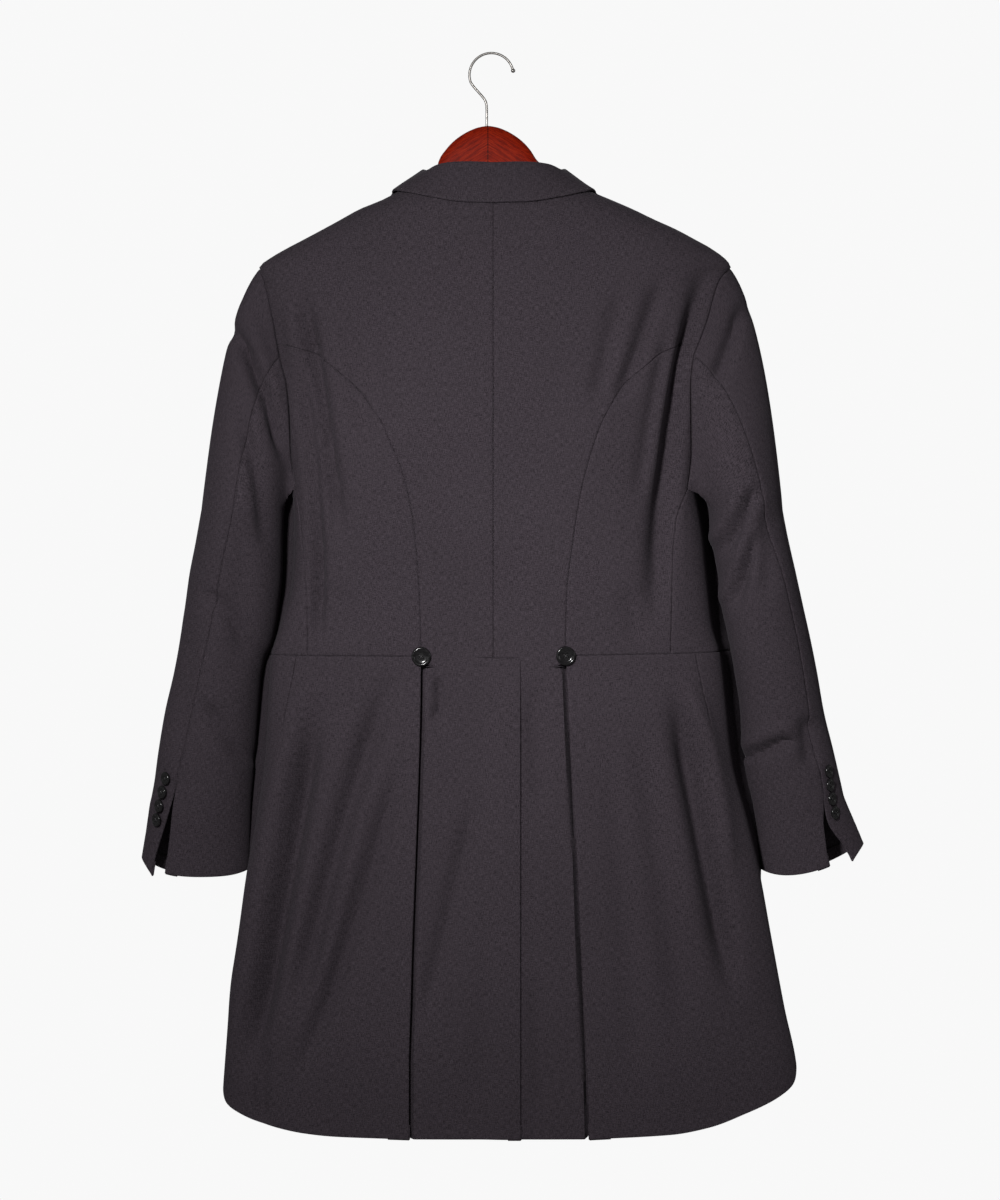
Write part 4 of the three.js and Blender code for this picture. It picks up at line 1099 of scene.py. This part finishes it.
def collar_sections(side, along):
    """Sections as a grid: a row for each station, from the neck seam to the outer edge."""
    theta, z = neck_edge(side, along)
    foot, out = ring(side, theta, z), skin_normal(side, theta, z)
    before, after = neck_edge(side, np.maximum(along - 0.05, 0)), neck_edge(side, along + 0.05)
    ahead = ring(side, *after) - ring(side, *before)
    ahead[along < 0.05] = [1, 0, 0]
    up = unit(np.cross(ahead, out))
    up *= np.sign(up[:, 2:])
    value = {name: f(along)[:, None, None] for name, f in collar_curve.items()}

    def place(rise, stand):
        return foot[:, None] + up[:, None] * rise + out[:, None] * stand

    inset = COLLAR_INSET + ROLL_INSET * smooth((along - ROLL_STARTS) / 0.23)[:, None, None]
    stand_share = np.linspace(0, 1, 9)[:-1][None, :, None]
    inside = place(value["rise"] - COLLAR_ROLL, value["stand"] - COLLAR_ROLL)
    stand = lerp(place(0, -inset), inside, stand_share)
    turn = np.linspace(np.pi, 0, 13)[None, :, None]
    roll_rise = value["rise"] - COLLAR_ROLL + COLLAR_ROLL * np.sin(turn)
    fold = place(roll_rise, value["stand"] + COLLAR_ROLL * np.cos(turn))
    t = np.linspace(0, 1, 31)[1:]
    a = lerp(theta[:, None], value["edge_theta"][..., 0], t)
    b = lerp(z[:, None], value["edge_z"][..., 0], t)
    over = ring(side, a, b) + skin_normal(side, a, b) * COLLAR_LIFT
    start = foot[:, None] + out[:, None] * COLLAR_LIFT
    fall = over + (fold[:, -1:] - start) * (1 - t)[None, :, None]
    return np.concatenate([stand, fold, fall], 1)


def make_collar():
    last = COLLAR["along"][-1]
    end = [(last - d / 100, h) for d, h in reversed(SEAM_EDGE)]
    even = np.arange(0, last - 0.05, COLLAR_STEP)
    half = np.concatenate([even, [d for d, _ in end]])
    half_height = np.concatenate([np.zeros(len(even)), [h for _, h in end]])
    dense = np.concatenate([collar_sections("left", half[1:])[::-1], collar_sections("right", half)])
    height = np.concatenate([half_height[1:][::-1], half_height])
    normals = unit(np.cross(np.gradient(dense, axis=0), np.gradient(dense, axis=1)))
    widths = row_lengths(dense)
    start_edge = padded_to(RAW_EDGE, TURNED_EDGE)
    distance, edge_height = spread_rows(widths[:, -1], start_edge, TURNED_EDGE, COLLAR_COLUMNS)
    points = pick_rows(dense, widths, distance)
    normal = unit(pick_rows(normals, widths, distance))
    middle = len(dense) // 2
    outward = -np.sign(normal[middle, -12, 1])  # the fall faces the camera, which looks along +Y
    normal = outward * normal
    wave = 0.25 * np.sin(points[..., 0] / 17) * np.sin(points[..., 2] / 9)
    points = points + normal * (wave - sunk_edges(edge_height, height))[..., None]
    stitched = widths[:, -1:] - STITCH_IN
    seam, seam_normal = (pick_rows(grid, widths, stitched)[:, 0] for grid in (dense, normals))
    stitches = pick_stitches("collar_stitches", seam, outward * unit(seam_normal))
    along = row_lengths(points.swapaxes(0, 1))[points.shape[1] - 20]
    cut = np.stack([np.broadcast_to(along[:, None], distance.shape), distance], -1)
    facing = normal[middle, points.shape[1] // 2]
    wool_piece("collar", points, cut, facing)


make_collar()

# %% [markdown]
# ## Buttons
# The buttons are turned from horn: a raised rim, a dished middle and four holes, sewn on with
# a cross of thread. A profile is spun round the button's axis, as on a lathe, and a Boolean
# modifier drills the holes. Two sizes are made once each and copied to their places.

# %% Button shapes
WAIST_BUTTON = {"radius": 10.15, "tall": 3.6, "hole": 0.95, "spacing": 2.1}
CUFF_BUTTON = {"radius": 7.1, "tall": 3.2, "hole": 0.75, "spacing": 1.6}
FACE_SHARE, THREAD_REACH = 0.61, 1.41 * 1.05


def spun(profile, steps):
    """A closed shape turned round Z from (radius, height) points that start and end on Z."""
    shape = bmesh.new()
    line = [shape.verts.new((r * MM, 0, h * MM)) for r, h in profile]
    edges = [shape.edges.new(pair) for pair in zip(line, line[1:])]
    bmesh.ops.spin(
        shape, geom=line + edges, cent=(0, 0, 0), axis=(0, 0, 1), angle=2 * np.pi,
        steps=steps, use_merge=True,
    )
    bmesh.ops.remove_doubles(shape, verts=shape.verts, dist=0.005 * MM)
    bmesh.ops.recalc_face_normals(shape, faces=shape.faces)
    return shape


def button_profile(radius, tall, **_):
    """From the back, out round the side, over the rim and down to the dished face."""
    side = [(0, 0), (0.6, 0), (0.84, 0.02), (0.95, 0.16), (0.993, 0.34), (1, 0.5), (0.99, 0.68)]
    rim = [(0.955, 0.86), (0.9, 0.97), (0.84, 1), (0.78, 0.975), (0.73, 0.9), (0.69, 0.8)]
    face = [(0.65, 0.72), (0.6, 0.67), (0.52, 0.64), (0.36, 0.62), (0.18, FACE_SHARE), (0, FACE_SHARE)]
    return [(radius * r, tall * h) for r, h in side + rim + face]


def drilled_button(name, size):
    blank = finished(name, spun(button_profile(**size), 48), sharp_degrees=60)
    drills = bmesh.new()
    radius, depth = size["hole"] * MM, size["tall"] * MM * 0.7
    for x, y in ((1, 1), (-1, 1), (-1, -1), (1, -1)):
        at = Vector((size["spacing"] * x, size["spacing"] * y, size["tall"] * 0.6)) * MM
        bmesh.ops.create_cone(
            drills, cap_ends=True, segments=12, radius1=radius, radius2=radius, depth=depth,
            matrix=Matrix.Translation(at),
        )
    cutter = finished(name + "_drills", drills)
    cut = blank.modifiers.new("holes", "BOOLEAN")
    cut.object, cut.operation, cut.solver = cutter, "DIFFERENCE", "EXACT"
    bpy.context.view_layer.update()
    drilled = blank.evaluated_get(bpy.context.evaluated_depsgraph_get())
    mesh = bpy.data.meshes.new_from_object(drilled)
    mesh.polygons.foreach_set("use_smooth", [True] * len(mesh.polygons))
    mesh.set_sharp_from_angle(angle=np.radians(40))
    bpy.data.objects.remove(blank)
    bpy.data.objects.remove(cutter)
    return mesh


def thread_cross(size):
    """Two bars of thread from hole to hole, crossing over the middle of the button."""
    cross = bmesh.new()
    shape = Matrix.Diagonal((size["spacing"] * THREAD_REACH, 0.2, 0.3, 1))
    for turn, lift in ((45, 0), (135, 0.25)):
        turned = Matrix.Rotation(np.radians(turn), 4, "Z")
        for offset in (-0.17, 0.17):
            bar = bmesh.ops.create_uvsphere(cross, u_segments=8, v_segments=6, radius=MM)["verts"]
            place = Matrix.Translation((0, offset * MM, (size["tall"] * FACE_SHARE + 0.2 + lift) * MM))
            bmesh.ops.transform(cross, verts=bar, matrix=turned @ place @ shape)
    for face in cross.faces:
        face.smooth = True
    mesh = bpy.data.meshes.new("thread")
    cross.to_mesh(mesh)
    cross.free()
    return mesh


# %% Sew the buttons on
BUTTONS, THREADS = {}, {}
WAIST_MESHES = drilled_button("waist_blank", WAIST_BUTTON), thread_cross(WAIST_BUTTON)
CUFF_MESHES = drilled_button("cuff_blank", CUFF_BUTTON), thread_cross(CUFF_BUTTON)
WAIST_TURN, WAIST_SEAT, FRONT_BUTTON_Z, FRONT_SEAT = {"left": 6, "right": 14}, 0.75, -600.0, LAP + 0.1
CUFF_BUTTONS = table(
    "z_left angle_left z_right angle_right",
    (-760, 135.5, -752.5, 136),
    (-774.5, 137.5, -767, 133),
    (-789, 139, -781.5, 131),
    (-803.5, 140.5, -796, 131),
)
CUFF_SEAT, CUFF_TILT = 1.2, {"left": 0.45, "right": 0.75}


def sew_on(name, meshes, point, normal, seat, turn=8, tilt=0):
    """A copy of a button, its back raised from a point by its seat, its face along a normal."""
    facing = Vector(unit(normal + [tilt, 0, 0])).to_track_quat("Z", "Y").to_matrix().to_4x4()
    turned = facing @ Matrix.Rotation(np.radians(turn), 4, "Z")
    place = Matrix.Translation(Vector(point + normal * seat) * MM) @ turned
    for made, mesh, part in zip((BUTTONS, THREADS), meshes, ("_horn", "_thread")):
        copy = mesh.copy()
        copy.transform(place)
        made[name] = bpy.data.objects.new(name + part, copy)
        bpy.context.scene.collection.objects.link(made[name])


for side in SIGN:
    theta = theta_at(side, PLEAT[side][0], WAIST_Z)
    at = side, theta, waist_z(side, theta)
    name = "waist_button_" + side
    sew_on(name, WAIST_MESHES, ring(*at), skin_normal(*at), WAIST_SEAT, WAIST_TURN[side])
at = "left", 180.0, FRONT_BUTTON_Z
sew_on("front_button", WAIST_MESHES, ring(*at), skin_normal(*at), FRONT_SEAT)
for side in SIGN:
    for k, (z, angle) in enumerate(zip(CUFF_BUTTONS["z_" + side], CUFF_BUTTONS["angle_" + side])):
        point, normal = sleeve_ring(side, z, angle), sleeve_normal(side, z, angle)
        name, tilt = f"cuff_button_{side}_{k + 1}", SIGN[side] * CUFF_TILT[side]
        sew_on(name, CUFF_MESHES, point, normal, CUFF_SEAT, 20 + 17 * k, tilt)
print("buttons:", len(BUTTONS))

# %% [markdown]
# ## Hanger
# The hanger is two turned arms joined at the middle under a round dome. Its sections are
# ellipses along the arms, so it is made as a tube through rings, closed at both tips.

# %% Rings of the hanger
HANGER_CENTRE = -6
DOME = table(
    "x z",
    (0, -75),
    (9, -76.3),
    (18, -79.5),
    (28, -85),
    (37, -92),
    (45, -101),
    (51.5, -111),
)
ARMS = table(
    "x below",
    (60, -11),
    (68, -3),
    (77, 9),
    (88, 8),
    (102, 5.5),
    (125, 3.6),
    (214, 3.1),
)
ARM_STARTS, ARM_RUN, HANGER_REACH, HANGER_RING = 60, 150, 214, 33
TIP_STEPS = np.array([0, 0.15, 0.6, 1.4, 2.6, 4])


def ridge_z(side, x):
    """Height of the shoulder ridge at a distance from the middle."""
    z = np.linspace(TIP_Z, NECK_POINT_Z, 300)
    return np.interp(x, HALF[side](z)[::-1], z[::-1])


def tube_piece(name, rings):
    """A closed tube: rings of points, with the last of each ring equal to its first."""
    along = row_lengths(rings.swapaxes(0, 1))[0]
    around = row_lengths(rings)[:, -1:] * np.linspace(0, 1, rings.shape[1])
    cut = np.stack([around, np.broadcast_to(along[:, None], around.shape)], -1)
    i, j = rings.shape[0] // 2, rings.shape[1] // 2
    outward = tuple(rings[i, j] - rings[i, :-1].mean(0))
    return cloth_piece(name, rings, cut, outward, thickness=0)


def hanger_stations(side):
    """(x, top, low, half width) along one side; the dome's x is from the hanger's own middle."""
    dome = [(HANGER_CENTRE + SIGN[side] * x, z, -146 - 0.12 * x, 11.0) for x, z in zip(*DOME.values())]
    arms = []
    for x, below in zip(*ARMS.values()):
        share = (x - ARM_STARTS) / ARM_RUN
        top = ridge_z(side, x) - below
        arms.append((SIGN[side] * x, top, min(-152, top - lerp(26, 15, share)), lerp(11, 15, share)))
    return sorted(dome + arms)


def make_hanger():
    stations = hanger_stations("left") + hanger_stations("right")[1:]
    shape = table("x top low wide", *stations)
    inner = np.arange(-HANGER_REACH + 6, HANGER_REACH - 6, 2.5)
    x = np.concatenate([TIP_STEPS - HANGER_REACH, inner, HANGER_REACH - TIP_STEPS[::-1]])
    top, low, wide = (curve(shape, name, "x")(x)[:, None] for name in ("top", "low", "wide"))
    inset = np.clip(np.minimum(x + HANGER_REACH, HANGER_REACH - x) / 5, 0, 1)
    round_off = np.sqrt(1 - (1 - inset) ** 2)[:, None]
    turn = np.linspace(0, 2 * np.pi, HANGER_RING)
    c, s = (np.sign(v) * np.abs(v) ** 0.8 for v in (np.cos(turn), np.sin(turn)))
    across, up = wide * round_off * c, (top + low) / 2 + (top - low) / 2 * round_off * s
    along = np.broadcast_to(x[:, None], across.shape)
    return tube_piece("hanger_wood", np.stack([along, across, up], -1))


hanger = make_hanger()
print("hanger:", len(hanger.data.polygons), "faces")

# %% [markdown]
# ## Hook
# The hook is one steel wire, bent to an arc with a small ball at its end.

# %% Hook
WIRE, HOOK_RADIUS, HOOK_CENTRE_X, HOOK_TOP_Z, BALL = 1.3, 23.1, -2.3, 1.5, 2.3
HOOK_FOOT = [(-7.2, -75.5), (-7.2, -66), (-7.2, -54), (-8.6, -48), (-14.5, -41), (-20.5, -34.5)]


def make_hook():
    arc = np.radians(np.arange(200, 13, -4))
    centre = np.array([HOOK_CENTRE_X, HOOK_TOP_Z - HOOK_RADIUS])
    line = np.concatenate([HOOK_FOOT, centre + HOOK_RADIUS * np.stack([np.cos(arc), np.sin(arc)], -1)])
    for _ in range(3):  # round the corners between the straight foot and the arc
        a, b = line[:-1], line[1:]
        cut_corners = np.stack([a * 0.75 + b * 0.25, a * 0.25 + b * 0.75], 1).reshape(-1, 2)
        line = np.concatenate([line[:1], cut_corners, line[-1:]])
    ahead = unit(line[-1] - line[-2])
    ball = np.radians(np.arange(150, -1, -15))
    ends = line[-1] + ahead * BALL * (0.8 + np.cos(ball))[:, None]
    radius = np.concatenate([np.full(len(line), WIRE), np.maximum(0.01, BALL * np.sin(ball))])[:, None]
    line = np.concatenate([line, ends])
    run = unit(np.gradient(line, axis=0))
    run[-len(ball):] = ahead
    turn = np.linspace(0, 2 * np.pi, 15)
    x = line[:, :1] + run[:, 1:] * radius * np.cos(turn)
    z = line[:, 1:] - run[:, :1] * radius * np.cos(turn)
    rings = np.stack([x, radius * np.sin(turn), z], -1)
    foot = rings[:1].mean(1, keepdims=True) + np.zeros_like(rings[:1])
    return tube_piece("hook_wire", np.concatenate([foot, rings]))


hook = make_hook()
print("hook:", len(hook.data.polygons), "faces")

# %% [markdown]
# ## Wool
# The coat's cloth is a fine worsted, nearly black with a plum cast, with a faint nap. Its yarns
# are uneven, so up close it is a mix of short light and dark slubs along the warp and across
# it. Three noises on the cloth's own UV map draw them, two of them stretched, and a trace of
# sheen gives the nap.

# %% Node helpers
def add_node(tree, kind, values=None, **settings):
    node = tree.nodes.new(kind)
    for name, value in settings.items():
        setattr(node, name, value)
    for socket, value in (values or {}).items():
        if isinstance(value, bpy.types.NodeSocket):
            tree.links.new(value, node.inputs[socket])
        else:
            node.inputs[socket].default_value = value
    return node


def new_material(name, color, roughness, **sockets):
    material = bpy.data.materials.new(name)
    material.use_nodes = True
    material.diffuse_color = (*color, 1)
    shader = material.node_tree.nodes["Principled BSDF"]
    sockets.update(Base_Color=(*color, 1), Roughness=roughness)
    for socket, value in sockets.items():
        shader.inputs[socket.replace("_", " ")].default_value = value
    return material, material.node_tree, shader


def link(tree, output, shader, socket):
    tree.links.new(output, shader.inputs[socket])


def object_place(tree):
    return add_node(tree, "ShaderNodeTexCoord").outputs["Object"]


def maths(tree, operation, a, *b):
    return add_node(tree, "ShaderNodeMath", dict(enumerate((a, *b))), operation=operation).outputs[0]


def noise(tree, where, scale, stretch=(1, 1, 1), detail=2, roughness=0.5):
    place = add_node(tree, "ShaderNodeMapping", {"Vector": where, "Scale": stretch}).outputs[0]
    values = {"Vector": place, "Scale": scale, "Detail": detail, "Roughness": roughness}
    return add_node(tree, "ShaderNodeTexNoise", values).outputs["Fac"]


def ramp(tree, value, *stops):
    """A colour ramp from (position, colour) stops; a plain number is a grey."""
    made = add_node(tree, "ShaderNodeValToRGB", {"Fac": value})
    elements = made.color_ramp.elements
    while len(elements) < len(stops):
        elements.new(0.5)
    for element, (position, color) in zip(elements, stops):
        element.position = position
        element.color = (color, color, color, 1) if isinstance(color, (int, float)) else (*color, 1)
    return made.outputs["Color"]


def multiplied(tree, factor, a, b):
    """A colour times another one, by a factor."""
    values = {0: factor, 6: a, 7: b}
    return add_node(tree, "ShaderNodeMix", values, data_type="RGBA", blend_type="MULTIPLY").outputs[2]


def bumped(tree, shader, height, strength, distance):
    values = {"Height": height, "Strength": strength, "Distance": distance}
    link(tree, add_node(tree, "ShaderNodeBump", values).outputs[0], shader, "Normal")


def tint(color, share):
    return tuple(v * share for v in color)


def mottled(name, color, roughness, scale, detail, tints, rough=(), stretch=(1, 1, 1), **sockets):
    """A finish clouded by one noise; tints are (position, share of the colour)."""
    material, tree, shader = new_material(name, color, roughness, **sockets)
    cloudy = noise(tree, object_place(tree), scale, stretch, detail)
    colors = ramp(tree, cloudy, *[(at, tint(color, share)) for at, share in tints])
    link(tree, colors, shader, "Base Color")
    if rough:
        link(tree, ramp(tree, cloudy, *rough), shader, "Roughness")
    return material


# %% Wool material
WOOL_COLOR, DARK_YARN, LIGHT_YARN = (0.0432, 0.0349, 0.0422), 0.5, 1.52
ACROSS, ALONG, FINE = (190, 1700, 1), (1500, 190, 1), (1500, 1500, 1)


def make_wool():
    material, tree, shader = new_material(
        "worsted wool", WOOL_COLOR, 1.0, Specular_IOR_Level=0.06, Sheen_Weight=0.03,
        Sheen_Roughness=0.5, Sheen_Tint=(0.9, 0.85, 0.95, 1),
    )
    cloth = add_node(tree, "ShaderNodeUVMap", uv_map="cut").outputs[0]
    warp, weft = (noise(tree, cloth, 1, stretch, 2, 0.6) for stretch in (ALONG, ACROSS))
    fine = noise(tree, cloth, 1, FINE, 1)
    broad = noise(tree, object_place(tree), 9, detail=3)
    height = maths(tree, "ADD", maths(tree, "ADD", warp, weft), fine)
    level = maths(tree, "MULTIPLY", height, 1 / 3)
    dark, light = tint(WOOL_COLOR, DARK_YARN), tint(WOOL_COLOR, LIGHT_YARN)
    streaks = ramp(tree, level, (0.415, dark), (0.585, light))
    shade = ramp(tree, broad, (0.3, 0.93), (0.7, 1.0))
    link(tree, multiplied(tree, 1.0, streaks, shade), shader, "Base Color")
    bumped(tree, shader, height, 0.2, 0.0003)
    return material


WOOL = make_wool()

# %% Horn, thread, steel and wood
HORN = mottled(
    "black horn", (0.008, 0.0075, 0.008), 0.1, 260, 4, ((0.35, 0.75), (0.7, 1.5)),
    rough=((0.3, 0.12), (0.8, 0.24)), stretch=(1, 1, 2.2), Specular_IOR_Level=0.4,
)
THREAD = mottled(
    "sewing silk", (0.018, 0.016, 0.018), 0.55, 2200, 1, ((0.3, 0.6), (0.7, 1.6)), Sheen_Weight=0.2,
)
STEEL = mottled(
    "steel wire", (0.42, 0.4, 0.38), 0.4, 420, 3, ((0.3, 0.7), (0.7, 1)),
    rough=((0.3, 0.5), (0.7, 0.34)), Metallic=1.0,
)
WOOD_COLOR, LIGHT_WOOD = (0.23, 0.009, 0.0008), (0.32, 0.02, 0.002)


def make_wood():
    material, tree, shader = new_material(
        "varnished beech", WOOD_COLOR, 0.6, Specular_IOR_Level=0.1,
        Coat_Weight=0.02, Coat_Roughness=0.25,
    )
    x, y, z = add_node(tree, "ShaderNodeSeparateXYZ", {0: object_place(tree)}).outputs
    away = maths(tree, "ABSOLUTE", maths(tree, "SUBTRACT", x, HANGER_CENTRE * MM))
    mitred = add_node(tree, "ShaderNodeCombineXYZ", {0: away, 1: y, 2: z}).outputs[0]
    slant = {"Vector": mitred, "Rotation": (0, np.radians(-32), 0)}
    turned = add_node(tree, "ShaderNodeMapping", slant).outputs[0]
    grain = noise(tree, turned, 1, (70, 700, 900), 4, 0.6)
    pores = noise(tree, turned, 1, (260, 3000, 3600))
    color = ramp(tree, grain, (0.36, tint(WOOD_COLOR, 0.6)), (0.5, WOOD_COLOR), (0.66, LIGHT_WOOD))
    color = multiplied(tree, 0.35, color, ramp(tree, pores, (0.38, 0.35), (0.52, 1.0)))
    joint = ramp(tree, maths(tree, "MULTIPLY", away, 1 / MM), (0.2, 0.12), (0.6, 1.0))
    link(tree, multiplied(tree, 1.0, color, joint), shader, "Base Color")
    bumped(tree, shader, grain, 0.06, 0.0004)
    return material


WOOD = make_wood()

# %% [markdown]
# ## Which piece stands for which plain one
# Every piece rides on the one rigid body, takes the place of its plain solid, and gets the
# material it is made in.

# %% Ride, replace and finish
def place(piece, material, slot, *nodes):
    piece.data.materials.clear()
    piece.data.materials.append(material)
    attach(piece, "root")
    if nodes:
        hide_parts(*nodes)


for name, piece in WOOL_PIECES.items():
    place(piece, WOOL, "wool", name)
for name in BUTTONS:
    place(BUTTONS[name], HORN, "horn", name)
    place(THREADS[name], THREAD, "wool")
for piece in STITCHES:
    place(piece, THREAD, "wool")
place(hanger, WOOD, "varnished_wood", "hanger")
place(hook, STEEL, "steel_wire", "hook")

# %% [markdown]
# ## Light and floor
# A small hard light stands in front and to the left, so that each fold has a dark side. Wide
# soft banks on both sides light the edges, and one at the back lights the hidden front. The
# white walls are the world's own plain near-white.

# %% Lights
def softbox(name, place, aim, size, power, spread=180):
    light = bpy.data.lights.new(name, "AREA")
    light.shape, light.size, light.energy, light.spread = "SQUARE", size, power, np.radians(spread)
    lamp = bpy.data.objects.new(name, light)
    lamp.location = place
    lamp.rotation_euler = (Vector(aim) - Vector(place)).to_track_quat("-Z", "Y").to_euler()
    bpy.context.scene.collection.objects.link(lamp)


CHEST = (0, 0, -0.55)
softbox("key", (-0.6, -2.1, 0.05), (0.12, 0, -0.56), 0.25, 5.0, spread=56)
softbox("left bank", (-3.2, -1.3, 0.1), CHEST, 1.6, 6)
softbox("right bank", (3.2, -0.8, 0.1), CHEST, 1.4, 10)
softbox("rear", (0.0, 3.0, 0.9), CHEST, 1.8, 24)

world = bpy.data.worlds.new("studio")
world.use_nodes = True
bpy.context.scene.world = world
background = world.node_tree.nodes["Background"]
seen = add_node(world.node_tree, "ShaderNodeLightPath").outputs["Is Camera Ray"]
brightness = {"Value": seen, "To Min": 0.12, "To Max": 0.94}
level = add_node(world.node_tree, "ShaderNodeMapRange", brightness).outputs[0]
background.inputs["Color"].default_value = (1, 1, 1, 1)
link(world.node_tree, level, background, "Strength")
bpy.context.scene.view_settings.view_transform = "Standard"

# %% Floor
FLOOR_Z, FLOOR_RADIUS = -1.65, 2.2
floor_shape = bmesh.new()
low_down = Matrix.Translation((0, 0, FLOOR_Z))
bmesh.ops.create_circle(floor_shape, cap_ends=True, segments=96, radius=FLOOR_RADIUS, matrix=low_down)
floor = finished("floor", floor_shape)
pale = mottled("pale floor", (0.8, 0.8, 0.8), 0.7, 3, 3, ((0.3, 0.975), (0.7, 1.025)))
floor.data.materials.append(pale)
